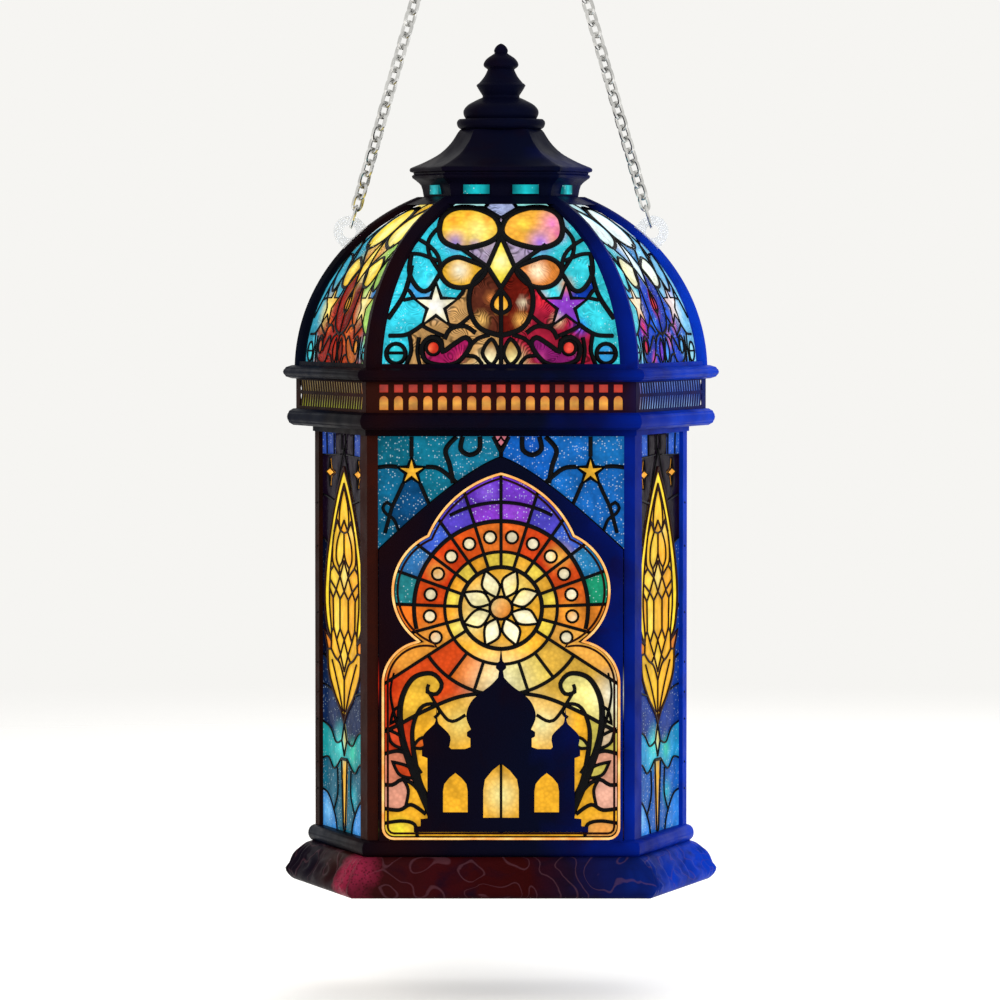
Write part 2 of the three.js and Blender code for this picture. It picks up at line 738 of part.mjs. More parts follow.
// The door leaf fills the back opening: an arched frame with a clear field above the band.
function doorLeaf() {
  const low = deck + DOOR_GAP;
  const high = railUnderside - DOOR_GAP;
  const shape = rectangle(-leafEdge, low, leafEdge, high);
  const half = leafEdge - DOOR_STILE;
  shape.holes.push(archPath(half, low + DOOR_STILE));
  const head = high - DOOR_STILE;
  const field = [new THREE.Vector2(-half, head), new THREE.Vector2(half, head), ...bandEdge(half)];
  shape.holes.push(new THREE.Path(field));
  const inner = BODY_HALF_DEPTH - SHEET;
  const leaf = plate(shape, LEAF_THICKNESS).rotateX(Math.PI / 2).translate(0, inner + LEAF_THICKNESS, 0);
  const knuckles = HINGE_LEVELS.flatMap((level) => {
    const bottom = deck + level - KNUCKLE / 2;
    const top = deck + level + KNUCKLE / 2;
    return [
      knuckle(bottom, top),
      knuckleArm(leafEdge - DOOR_STILE, hingeX, BODY_HALF_DEPTH + ARCH_PROUD / 2, bottom, top),
    ];
  });
  return named("door_frame", join(leaf, ...knuckles), darkMetal);
}

function doorGlass() {
  const edge = leafEdge - 1.1;
  const pane = leadedPane(-edge, deck + DOOR_GAP + 0.6, edge, railUnderside - DOOR_GAP - 0.6);
  const mesh = named("door_glass", pane, arcadeGlass);
  return onFace(mesh, body, 3, SHEET + CLEARANCE + GLASS);
}

// Knob on the dark cusp of the door, on the side away from the hinge.
function doorKnob() {
  const profile = [
    [0, 6.4],
    [1.8, 6.1],
    [KNOB_RADIUS, 4.6],
    [2.2, 3],
    [1.1, 2],
    [1.1, 0.7],
    [2.4, 0.6],
    [2.4, 0],
    [0, 0],
  ];
  const knob = turned(profile, 12).rotateX(-Math.PI / 2);
  const seat = BODY_HALF_DEPTH + ARCH_PROUD + CLEARANCE;
  const mesh = named("door_knob", knob, steel);
  mesh.position.set(-KNOB_INSET, seat, deck + KNOB_LEVEL);
  return mesh;
}

// A magnet on the floor, behind the lip, that holds the door shut.
function doorMagnet() {
  const back = BODY_HALF_DEPTH - lipDepth - LIP - CLEARANCE;
  const magnet = block([-24, back - 4, deck], [-14, back, deck + 5]);
  return named("door_magnet", magnet, steel);
}

// Almond tracery over a side window. Two arcs cross at its points, and each band is drawn between two radii.
function almondBand(half, low, high, bar) {
  const rise = (high - low) / 2;
  const radius = (rise ** 2 + half ** 2) / (2 * half);
  const sweep = Math.asin(rise / radius);
  return [1, -1].map((way) => {
    const centre = way * (half - radius);
    const shape = new THREE.Shape();
    const turn = way > 0 ? 0 : Math.PI;
    shape.absarc(centre, low + rise, radius, turn - sweep, turn + sweep);
    shape.absarc(centre, low + rise, radius - bar, turn + sweep, turn - sweep, true);
    return shape;
  });
}

// A straight bar between two points of a face.
function bar(from, to, width) {
  const way = new THREE.Vector2(to[0] - from[0], to[1] - from[1]).normalize();
  const side = [(-way.y * width) / 2, (way.x * width) / 2];
  return shapeOf([
    [from[0] - side[0], from[1] - side[1]],
    [to[0] - side[0], to[1] - side[1]],
    [to[0] + side[0], to[1] + side[1]],
    [from[0] + side[0], from[1] + side[1]],
  ]);
}

function traceryShape() {
  const low = deck + ALMOND_FOOT_LEVEL;
  const high = low + ALMOND_HEIGHT;
  const mid = (low + high) / 2;
  const quarter = ALMOND_HEIGHT / 4;
  const inner = ALMOND_HALF_WIDTH * ALMOND_INNER_SHARE;
  const shapes = [
    ...almondBand(ALMOND_HALF_WIDTH, low, high, ALMOND_BAR),
    ...almondBand(inner, low + quarter * 0.6, high - quarter * 0.6, TRACERY_BAR),
    bar([0, deck + CLEARANCE], [0, low + quarter * 0.8], ALMOND_BAR),
    bar([0, high - ALMOND_BAR], [0, railUnderside - CLEARANCE], TRACERY_BAR),
    bar([0, low + quarter * 0.5], [0, high - 1], TRACERY_BAR),
  ];
  const reach = ALMOND_HALF_WIDTH * 0.93;
  [-1, 1].forEach((way) => {
    shapes.push(bar([-way * reach, mid - quarter * 0.35], [0, mid + quarter * 0.75], TRACERY_BAR));
    shapes.push(bar([-way * reach * 0.93, mid + quarter * 0.55], [0, mid - quarter * 0.75], TRACERY_BAR));
  });
  return shapes;
}

function sideTracery() {
  const names = { 1: "front_right", 2: "back_right", 4: "back_left", 5: "front_left" };
  const made = join(...traceryShape().map((shape) => plate(shape, TRACERY_THICKNESS)));
  return Object.entries(names).map(([key, name]) => {
    const side = Number(key);
    const mesh = named(`${name}_tracery`, made.clone(), brownMetal);
    const shift = ((POST_SIDE_LEG - POST_END_LEG) / 2) * (side === 1 || side === 4 ? 1 : -1);
    mesh.geometry.translate(shift, 0, 0);
    return onFace(mesh, body, side, SHEET);
  });
}

// Lower cornice: a rail over the posts, a lip behind the glass and a bullnose under the frieze.
function lowerCornice() {
  const rail = grow(body, 0.6);
  const lipOut = grow(body, -lipDepth);
  const lipIn = grow(body, -lipDepth - LIP);
  const section = [
    [rail, railUnderside],
    [rail, corniceUnderside],
    ...nose(eave, LOWER_NOSE, corniceUnderside, friezeFoot),
    [lipIn, friezeFoot],
    [lipIn, railUnderside - LIP_HEIGHT],
    [lipOut, railUnderside - LIP_HEIGHT],
    [lipOut, railUnderside],
  ];
  return named("lower_cornice", hexRing(section), darkMetal);
}

const CORNICE_BAND = 4;

function upperCornice() {
  const inside = grow(eave, -CORNICE_BAND);
  const section = [[inside, friezeTop], ...nose(eave, UPPER_NOSE, friezeTop, domeFoot), [inside, domeFoot]];
  return named("upper_cornice", hexRing(section), darkMetal);
}

// One wall of the frieze, pierced with a row of small squares over a row of small arches.
function friezeWall(length) {
  const half = length / 2 - CLEARANCE / 2;
  const count = Math.floor((length - PIERCING_PITCH) / PIERCING_PITCH);
  const archFoot = friezeFoot + PIERCING_MARGIN;
  const archSpring = archFoot + ARCH_PIERCING_HEIGHT * 0.55;
  const squareTop = friezeTop - PIERCING_MARGIN;
  const squareFoot = squareTop - SQUARE_PIERCING_HEIGHT;
  const cutters = [];
  for (let i = 0; i < count; i += 1) {
    const x = (i - (count - 1) / 2) * PIERCING_PITCH;
    const left = x - PIERCING_WIDTH / 2;
    const right = x + PIERCING_WIDTH / 2;
    cutters.push(rectangle(left, squareFoot, right, squareTop));
    cutters.push(
      shapeOf([
        [left, archFoot],
        [right, archFoot],
        [right, archSpring],
        [x, archFoot + ARCH_PIERCING_HEIGHT],
        [left, archSpring],
      ]),
    );
  }
  const wall = plate(rectangle(-half, friezeFoot, half, friezeTop), FRIEZE_SHEET);
  return cut(wall, ...cutters.map((shape) => plate(shape, FRIEZE_SHEET + 2).translate(0, 0, -1)));
}

function frieze() {
  const names = ["front", "front_right", "back_right", "back", "back_left", "front_left"];
  const behind = grow(eave, -FRIEZE_SHEET);
  return names.map((name, side) => {
    const wall = friezeWall(face(behind, side).length);
    return onFace(named(`${name}_frieze`, wall, darkMetal), eave, side, FRIEZE_SHEET);
  });
}

function friezeLiner() {
  const outside = grow(eave, -FRIEZE_SHEET - CLEARANCE);
  const inside = grow(outside, -LINER);
  const section = [
    [inside, friezeFoot + CLEARANCE],
    [outside, friezeFoot + CLEARANCE],
    [outside, friezeTop - CLEARANCE],
    [inside, friezeTop - CLEARANCE],
  ];
  return named("frieze_liner", hexRing(section), amberGlass);
}

// Dome: at an angle up the ellipse, the plan and level of the surface that lies a depth inside it.
function domeAt(angle, depth) {
  const plan = shrink(grow(eave, -depth), Math.cos(angle));
  const level = domeCentre + (DOME_RISE - depth) * Math.sin(angle);
  return { plan, level: Math.max(level, domeFoot) };
}

const domeAngle = (level) => Math.asin((level - domeCentre) / DOME_RISE);
const RIB_LEG = 3;
const RIB_END_LEG = 2.2;
const DOME_STEPS = 8;
const DOME_RING = 5;
const DOME_RING_HEIGHT = 2.4;

// Points of a dome face at an angle and a depth, pulled in from its two corners by a margin each.
function domeEdge(angle, depth, side, startMargin, endMargin) {
  const { plan, level } = domeAt(angle, depth);
  const points = corners(plan);
  const from = points[side];
  const to = points[(side + 1) % 6];
  const along = to.clone().sub(from).normalize();
  const start = from.clone().addScaledVector(along, startMargin);
  const end = to.clone().addScaledVector(along, -endMargin);
  return [start, end].map((p) => new THREE.Vector3(p.x, p.y, level));
}

function rib(corner) {
  const leg = corner % 3 === 2 ? RIB_END_LEG : RIB_LEG;
  const before = (corner + 5) % 6;
  const low = domeAngle(domeFoot);
  const high = domeAngle(domeTop);
  const rings = [];
  for (let i = 0; i <= DOME_STEPS; i += 1) {
    const angle = low + ((high - low) * i) / DOME_STEPS;
    const cornerAt = (depth) => domeEdge(angle, depth, corner, 0, 0)[0];
    const legEnd = (depth, side) => domeEdge(angle, depth, side, leg, leg)[side === corner ? 0 : 1];
    rings.push([
      legEnd(0, before),
      cornerAt(0),
      legEnd(0, corner),
      legEnd(DOME_SHEET, corner),
      cornerAt(DOME_SHEET),
      legEnd(DOME_SHEET, before),
    ]);
  }
  return skin(rings, false);
}

// Eyelet seats: a frame at a point of the side ribs, with one axis out of the dome and one up along the rib.
function eyeletFrame(way) {
  const angle = domeAngle(domeFoot + EYELET_LEVEL);
  const across = eave.halfWidth * Math.cos(angle);
  const out = new THREE.Vector2(Math.cos(angle) / eave.halfWidth, Math.sin(angle) / DOME_RISE).normalize();
  return {
    seat: new THREE.Vector3(way * across, 0, domeFoot + EYELET_LEVEL),
    out: new THREE.Vector3(way * out.x, 0, out.y),
    up: new THREE.Vector3(-way * out.y, 0, out.x),
  };
}

const eyeletHalf = EYELET_RADIUS + CLEARANCE;
// The side corner's slope across the rib, and how deep the rib's inner corner lies.
const cornerSlope = (eave.halfWidth - eave.frontHalf) / eave.halfDepth;
const cornerSheet = DOME_SHEET * Math.hypot(1, cornerSlope);

// Turns a flat shape drawn with x up the rib and y out of the dome into a plate across the rib.
function acrossRib(geometry, way) {
  const { seat, out, up } = eyeletFrame(way);
  const side = new THREE.Vector3().crossVectors(up, out);
  return geometry.applyMatrix4(new THREE.Matrix4().makeBasis(up, out, side).setPosition(seat));
}

function eyelet(way) {
  const seat = -cornerSheet - CLEARANCE * 1.5 - (cornerSlope * EYELET_THICKNESS) / 2;
  const bend = (x) => seat - (x * x) / (2 * DOME_RISE);
  const edge = eyeletHalf + EYELET_FOOT;
  const outline = shapeOf([
    [-EYELET_RADIUS, EYELET_STAND_OFF],
    [-EYELET_RADIUS, bend(eyeletHalf)],
    [-edge, bend(edge)],
    [-edge, bend(edge) - EYELET_FOOT],
    [edge, bend(edge) - EYELET_FOOT],
    [edge, bend(edge)],
    [EYELET_RADIUS, bend(eyeletHalf)],
    [EYELET_RADIUS, EYELET_STAND_OFF],
  ]);
  outline.absarc(0, EYELET_STAND_OFF, EYELET_RADIUS, 0, Math.PI);
  const hole = new THREE.Path();
  hole.absarc(0, EYELET_STAND_OFF, EYELET_HOLE, 0, Math.PI * 2);
  outline.holes.push(hole);
  const lug = plate(outline, EYELET_THICKNESS, 6).translate(0, 0, -EYELET_THICKNESS / 2);
  return named(way < 0 ? "left_eyelet" : "right_eyelet", acrossRib(lug, way), clearAcrylic);
}

function eyeletSlot(way) {
  const deep = DOME_SHEET * 3;
  const half = EYELET_THICKNESS / 2 + CLEARANCE;
  return acrossRib(block([-eyeletHalf, -deep, -half], [eyeletHalf, deep, half]), way);
}

// The dome's cage is one soldered piece: a foot ring, six ribs, a top ring and a bridge that takes
// the finial's stud.
function domeCage() {
  const inside = grow(eave, -CORNICE_BAND);
  const footHeight = 1.2;
  const footRing = hexRing([
    [inside, domeFoot],
    [domeAt(domeAngle(domeFoot), 0).plan, domeFoot],
    [domeAt(domeAngle(domeFoot + footHeight), 0).plan, domeFoot + footHeight],
    [inside, domeFoot + footHeight],
  ]);
  const under = domeTop - DOME_RING_HEIGHT;
  const topPlan = domeAt(domeAngle(domeTop), 0).plan;
  const topRing = hexRing([
    [grow(topPlan, -DOME_RING), under],
    [domeAt(domeAngle(under), 0).plan, under],
    [topPlan, domeTop],
    [grow(topPlan, -DOME_RING), domeTop],
  ]);
  const reach = topPlan.halfWidth - DOME_RING / 2;
  const bridge = cut(
    block([-reach, -BRIDGE_WIDTH / 2, domeTop - BRIDGE_THICKNESS], [reach, BRIDGE_WIDTH / 2, domeTop - 0.1]),
    drum(STUD_RADIUS + CLEARANCE, under - 1, domeTop + 1, 12),
  );
  const ribs = [0, 1, 2, 3, 4, 5].map(rib);
  const cage = join(footRing, topRing, bridge, ...ribs);
  return named("dome_cage", cut(cage, eyeletSlot(-1), eyeletSlot(1)), darkMetal);
}

// Dome glass: one curved pane between each two ribs.
const PANE_MARGIN = 0.9;
const PANE_END_MARGIN = 1.7;

function domePanes() {
  const names = ["front", "front_right", "back_right", "back", "back_left", "front_left"];
  const low = domeAngle(domeFoot + 1.2 + CLEARANCE + DOME_SHEET);
  const high = domeAngle(domeTop - DOME_RING_HEIGHT - CLEARANCE);
  const outer = DOME_SHEET + CLEARANCE;
  return names.map((name, side) => {
    const startMargin = side % 3 === 2 ? PANE_END_MARGIN : PANE_MARGIN;
    const endMargin = side % 3 === 1 ? PANE_END_MARGIN : PANE_MARGIN;
    const rings = [];
    for (let i = 0; i <= DOME_STEPS; i += 1) {
      const angle = low + ((high - low) * i) / DOME_STEPS;
      const [a, b] = domeEdge(angle, outer, side, startMargin, endMargin);
      const [c, d] = domeEdge(angle, outer + DOME_GLASS, side, startMargin, endMargin);
      rings.push([a, b, d, c]);
    }
    return named(`${name}_dome_glass`, skin(rings, false), domeGlass);
  });
}

// Roof cap: a flared neck, a brim and a hollow concave skirt, on the dome's top ring.
function roofCap() {
  const planFor = (halfWidth) => shrink(eave, halfWidth / eave.halfWidth);
  const brim = new THREE.Vector2(CAP_BRIM_HALF_WIDTH, skirtFoot);
  const waist = new THREE.Vector2(
    (CAP_BRIM_HALF_WIDTH + CAP_TOP_HALF_WIDTH) / 2 - 2.1,
    skirtFoot + CAP_SKIRT_HEIGHT * 0.22,
  );
  const top = new THREE.Vector2(CAP_TOP_HALF_WIDTH, capTop);
  const skirt = new THREE.QuadraticBezierCurve(brim, waist, top).getPoints(6);
  const outer = hexStack([
    [planFor(CAP_NECK_HALF_WIDTH), domeTop],
    [planFor(CAP_THROAT_HALF_WIDTH), brimFoot],
    [planFor(CAP_BRIM_HALF_WIDTH), brimFoot + 0.4],
    ...skirt.map((p) => [planFor(p.x), p.y]),
  ]);
  const hollow = hexStack([
    [planFor(CAP_NECK_HALF_WIDTH - CAP_WALL), domeTop - 1],
    [planFor(CAP_NECK_HALF_WIDTH - CAP_WALL), domeTop],
    [planFor(CAP_THROAT_HALF_WIDTH - CAP_WALL * 1.4), brimFoot],
    ...skirt.slice(1, -1).map((p) => [planFor(p.x - CAP_WALL * 1.6), p.y - CAP_WALL * 0.6]),
  ]);
  const stud = drum(STUD_RADIUS + CLEARANCE, domeTop, capTop + 1, 12);
  return named("roof_cap", cut(outer, hollow, stud), darkMetal);
}

// Finial: a tip, a ball, a flared tier, a bulb and a collar, turned in one piece with its stud.
// Each pair is a radius and a level, as shares of its height.
function finial() {
  const stud = domeTop - BRIDGE_THICKNESS - NUT_HEIGHT - 1 - capTop;
  const turnings = [
    [0, 1],
    [0.043, 0.98],
    [0.082, 0.907],
    [0.085, 0.88],
    [0.167, 0.822],
    [0.202, 0.756],
    [0.159, 0.694],
    [0.194, 0.612],
    [0.287, 0.512],
    [0.209, 0.384],
    [0.217, 0.357],
    [0.364, 0.295],
    [0.434, 0.209],
    [0.403, 0.128],
    [0.508, 0.12],
    [0.508, 0.062],
    [0.453, 0],
  ];
  const profile = [
    ...turnings.map((share) => share.map((s) => s * FINIAL_HEIGHT)),
    [STUD_RADIUS, 0],
    [STUD_RADIUS, stud],
    [0, stud],
  ];
  const mesh = named("finial", turned(profile, 14), darkMetal);
  mesh.position.z = capTop;
  return mesh;
}

function finialNut() {
  const high = domeTop - BRIDGE_THICKNESS - CLEARANCE;
  const nut = cut(
    drum(NUT_RADIUS, high - NUT_HEIGHT, high, 6),
    drum(STUD_RADIUS + CLEARANCE, high - NUT_HEIGHT - 1, high + 1, 12),
  );
  return named("finial_nut", nut, steel);
}

// The sling: a jump ring in each eyelet and a chain from it up to the hanging ring.
const eyeletHole = (way) => {
  const { seat, out } = eyeletFrame(way);
  return seat.clone().addScaledVector(out, EYELET_STAND_OFF);
};
const jumpReach = EYELET_HOLE - CLEARANCE - JUMP_WIRE + JUMP_RADIUS;
const linkLength = LINK_PITCH + 2 * LINK_WIRE - LINK_BITE;
const firstBow = JUMP_RADIUS - JUMP_WIRE - LINK_WIRE - CLEARANCE;
const endBite = LINK_WIRE + END_LINK_WIRE - LINK_BITE;
const legLength = firstBow + (LINKS_PER_SIDE - 1) * LINK_PITCH + linkLength - endBite + 2 * END_LINK_RADIUS;
// The jump ring's centre lies on the line from the eyelet's hole to the top of the chain.
const hole = eyeletHole(1);
const legRun = hole.x - END_LINK_OFFSET;
const legRise = Math.sqrt((legLength + jumpReach) ** 2 - legRun ** 2);
const legTop = new THREE.Vector3(END_LINK_OFFSET, 0, hole.z + legRise);
const legWay = legTop.clone().sub(hole).normalize();
const jumpCentre = hole.clone().addScaledVector(legWay, jumpReach);
const ringDip = Math.sqrt(HANGING_RADIUS ** 2 - END_LINK_OFFSET ** 2);
const ringCentre = legTop.z - CLEARANCE - HANGING_WIRE - END_LINK_WIRE + ringDip;

// A ring of wire that lies in the plane of the chain's way and Y.
function wireRing(radius, wire, centre, way, sides) {
  const across = new THREE.Vector3(0, 1, 0);
  const normal = new THREE.Vector3().crossVectors(way, across);
  return new THREE.TorusGeometry(radius, wire, 5, sides).applyMatrix4(
    new THREE.Matrix4().makeBasis(way, across, normal).setPosition(centre),
  );
}

// One oval link, drawn along X and rolled about it. Its bows are straight where the links cross,
// and the negative radius turns the wire's section so that a corner of it faces the next link.
function link(roll) {
  const half = LINK_WIDTH / 2 - LINK_WIRE;
  const oval = new THREE.TorusGeometry(half, -LINK_WIRE, LINK_SECTION_SIDES, LINK_SIDES);
  oval.rotateZ(Math.PI / LINK_SIDES);
  const stretch = linkLength / 2 - half * Math.cos(Math.PI / LINK_SIDES);
  const position = oval.attributes.position;
  for (let i = 0; i < position.count; i += 1) {
    const x = position.getX(i);
    position.setX(i, x + stretch * Math.sign(x));
  }
  return oval.rotateX(roll);
}

function chain(side) {
  const way = new THREE.Vector3(side * legWay.x, 0, legWay.z);
  const start = new THREE.Vector3(side * jumpCentre.x, 0, jumpCentre.z);
  const across = new THREE.Vector3(0, 1, 0);
  const place = new THREE.Matrix4().makeBasis(way, across, new THREE.Vector3().crossVectors(way, across));
  let made = null;
  for (let i = 0; i < LINKS_PER_SIDE; i += 1) {
    const middle = start.clone().addScaledVector(way, firstBow + linkLength / 2 + i * LINK_PITCH);
    const roll = (i % 2 === 0 ? 1 : -1) * (Math.PI / 4);
    const one = solid(link(roll).applyMatrix4(place.clone().setPosition(middle)));
    made = made ? made.add(one) : one;
  }
  const endMiddle = start.clone().addScaledVector(way, legLength - END_LINK_RADIUS);
  const end = wireRing(END_LINK_RADIUS, END_LINK_WIRE, endMiddle, way, 12);
  return named(side < 0 ? "left_chain" : "right_chain", surface(made.add(solid(end))), steel);
}

function jumpRing(side) {
  const way = new THREE.Vector3(side * legWay.x, 0, legWay.z);
  const centre = new THREE.Vector3(side * jumpCentre.x, 0, jumpCentre.z);
  const ring = wireRing(JUMP_RADIUS, JUMP_WIRE, centre, way, 16);
  return named(side < 0 ? "left_jump_ring" : "right_jump_ring", ring, steel);
}

function hangingRing() {
  const ring = new THREE.TorusGeometry(HANGING_RADIUS, HANGING_WIRE, 6, 24).rotateX(Math.PI / 2);
  return named("hanging_ring", ring.translate(0, 0, ringCentre), steel);
}

// Candle cup on the floor, and the battery candle that stands in it.
const cupInside = CANDLE_RADIUS + 0.4;
const candleFoot = deck + CUP_FLOOR + CLEARANCE;

function candleCup() {
  const wall = cupInside + CUP_WALL;
  const profile = [
    [0, CUP_FLOOR],
    [cupInside, CUP_FLOOR],
    [cupInside, CUP_HEIGHT],
    [wall, CUP_HEIGHT],
    [wall, CUP_FLOOR],
    [wall + CUP_FLANGE, CUP_FLOOR],
    [wall + CUP_FLANGE, 0],
    [0, 0],
  ];
  const mesh = named("candle_cup", turned(profile, 20), brownMetal);
  mesh.position.z = deck;
  return mesh;
}

function candle() {
  const bay = CANDLE_RADIUS - BATTERY_BAY_WALL;
  const well = CANDLE_HEIGHT - 4;
  const shell = turned(
    [
      [0, well],
      [8, well + 0.4],
      [12.5, CANDLE_HEIGHT - 0.6],
      [CANDLE_RADIUS - 1, CANDLE_HEIGHT],
      [CANDLE_RADIUS, CANDLE_HEIGHT - 1.4],
      [CANDLE_RADIUS, 0],
      [bay, 0],
      [bay, BATTERY_BAY_DEPTH],
      [0, BATTERY_BAY_DEPTH],
    ],
    20,
  );
  const flame = turned(
    [
      [0, FLAME_HEIGHT],
      [1, FLAME_HEIGHT * 0.84],
      [2.4, FLAME_HEIGHT * 0.55],
      [2.7, FLAME_HEIGHT * 0.32],
      [1.4, FLAME_HEIGHT * 0.08],
      [1.1, 0],
      [0, 0],
    ],
    10,
  );
  const slotHalf = (SWITCH_TRAVEL + SWITCH_LENGTH) / 2 + CLEARANCE;
  const slotLow = SWITCH_INSET - SWITCH_WIDTH / 2 - CLEARANCE;
  const slotHigh = SWITCH_INSET + SWITCH_WIDTH / 2 + CLEARANCE;
  const cover = cut(
    drum(bay - CLEARANCE, COVER_RECESS, COVER_RECESS + BATTERY_COVER, 20),
    block([-slotHalf, slotLow, -1], [slotHalf, slotHigh, BATTERY_BAY_DEPTH]),
  );
  const pieces = [
    named("candle_body", shell, wax),
    named("candle_flame", flame.translate(0, 0, well + CLEARANCE), lampPlastic),
    named("battery_cover", cover, whitePlastic),
    named("candle_switch", switchSlider(), blackPlastic),
  ];
  const group = new THREE.Group();
  group.position.z = candleFoot;
  group.add(...pieces);
  return group;
}

// The switch at its lit end: a thumb piece in the slot and a flange above the cover.
function switchSlider() {
  const middle = SWITCH_TRAVEL / 2;
  const top = COVER_RECESS + BATTERY_COVER + CLEARANCE;
  const slab = (length, width, low, high) =>
    block(
      [middle - length / 2, SWITCH_INSET - width / 2, low],
      [middle + length / 2, SWITCH_INSET + width / 2, high],
    );
  const thumb = slab(SWITCH_LENGTH, SWITCH_WIDTH, COVER_RECESS / 2, top + SWITCH_FLANGE / 2);
  const flange = slab(SWITCH_LENGTH + 1.4, SWITCH_WIDTH + 1.8, top, top + SWITCH_FLANGE);
  return join(thumb, flange);
}

const lantern = new THREE.Group();
lantern.add(
  foot(),
  baseMoulding(),
  floorPlate(),
  ...posts(),
  ...glassSheets(),
  frontArch(),
  ...sideTracery(),
  lowerCornice(),
  ...frieze(),
  friezeLiner(),
  upperCornice(),
  domeCage(),
  ...domePanes(),
  roofCap(),
  finial(),
  finialNut(),
  eyelet(-1),
  eyelet(1),
  candleCup(),
  candle(),
  ...hingePins(),
  doorLeaf(),
  doorGlass(),
  doorKnob(),
  doorMagnet(),
  jumpRing(-1),
  jumpRing(1),
  chain(-1),
  chain(1),
  hangingRing(),
);

// The exported frame has its origin at the hanging ring's centre.
lantern.position.z = -ringCentre;
const part = new THREE.Group();
part.add(lantern);

export default part;
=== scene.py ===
"""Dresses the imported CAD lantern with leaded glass, enamelled metal and chain, and lights it.

Everything is drawn in millimetres in the part's own frame: the front faces -Y, up is +Z and the origin is
the centre of the hanging ring. A glazier's full-size drawing of a window is called a cartoon. Each window
here is made from one: its lead lines, and a colour for each piece of glass between them.
"""

import logging
import math
import random
from collections import defaultdict
from dataclasses import dataclass, field
from enum import Enum
from typing import Callable, Iterable, Optional, Sequence

import bmesh
import bpy
import numpy as np
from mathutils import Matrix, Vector, noise
from mathutils.geometry import delaunay_2d_cdt
from mathutils.kdtree import KDTree


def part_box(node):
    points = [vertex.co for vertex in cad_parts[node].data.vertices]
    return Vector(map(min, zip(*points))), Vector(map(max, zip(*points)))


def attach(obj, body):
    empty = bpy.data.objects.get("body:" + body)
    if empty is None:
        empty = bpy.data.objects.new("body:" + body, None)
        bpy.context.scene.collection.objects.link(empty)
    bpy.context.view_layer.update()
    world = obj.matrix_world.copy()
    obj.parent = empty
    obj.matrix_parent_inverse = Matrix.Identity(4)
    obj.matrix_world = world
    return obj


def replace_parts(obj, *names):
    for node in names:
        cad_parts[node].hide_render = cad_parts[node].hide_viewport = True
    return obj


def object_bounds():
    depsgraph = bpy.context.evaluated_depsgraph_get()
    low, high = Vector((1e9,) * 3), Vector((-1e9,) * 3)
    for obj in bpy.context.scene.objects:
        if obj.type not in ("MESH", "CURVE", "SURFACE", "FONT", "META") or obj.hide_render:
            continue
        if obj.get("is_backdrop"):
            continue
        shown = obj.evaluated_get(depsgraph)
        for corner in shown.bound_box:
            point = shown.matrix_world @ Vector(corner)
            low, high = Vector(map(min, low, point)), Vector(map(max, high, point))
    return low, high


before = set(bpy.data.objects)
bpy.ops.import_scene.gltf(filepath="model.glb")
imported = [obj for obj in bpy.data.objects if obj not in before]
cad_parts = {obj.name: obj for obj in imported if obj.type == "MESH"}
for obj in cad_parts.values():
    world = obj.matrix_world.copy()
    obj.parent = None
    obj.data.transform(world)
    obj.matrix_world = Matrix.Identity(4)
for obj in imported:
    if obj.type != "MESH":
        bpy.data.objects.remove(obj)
CAD_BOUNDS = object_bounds()

MM = 0.001
log = logging.getLogger("lantern")

Flat = tuple[float, float]
Line = list[Flat]
Surface = Callable[[float, float, float], Vector]
Colour = tuple[float, ...]
Rows = Sequence[tuple]
Socket = bpy.types.NodeSocket
Material = bpy.types.Material


def linear(code: str, gain: float = 1.0) -> tuple[float, float, float, float]:
    """Turns an sRGB hex colour into linear light.

    Args:
        code: Six hex digits after a hash.
        gain: Factor on the light, above 1 for a glowing colour.

    Returns:
        Red, green, blue and an alpha of 1.
    """
    parts = [int(code[i : i + 2], 16) / 255 for i in (1, 3, 5)]
    light = [p / 12.92 if p <= 0.04045 else ((p + 0.055) / 1.055) ** 2.4 for p in parts]
    return (light[0] * gain, light[1] * gain, light[2] * gain, 1.0)


# Plan of the lantern.
class Light(Enum):
    """What the lamps make of the glass of a face."""

    EVEN = 0
    WARM = 1
    COLD = 2


class Side(Enum):
    """The six faces, anticlockwise from above."""

    FRONT = 0
    FRONT_RIGHT = 1
    BACK_RIGHT = 2
    BACK = 3
    BACK_LEFT = 4
    FRONT_LEFT = 5

    @property
    def label(self) -> str:
        """The face's name as the CAD nodes have it."""
        return self.name.lower()

    @property
    def is_wide(self) -> bool:
        """Whether this is one of the two wide faces."""
        return self in (Side.FRONT, Side.BACK)

    @property
    def light(self) -> Light:
        """Its light: cold and blue towards +X, warm towards -X."""
        if self.is_wide:
            return Light.EVEN
        return Light.COLD if self in (Side.FRONT_RIGHT, Side.BACK_RIGHT) else Light.WARM


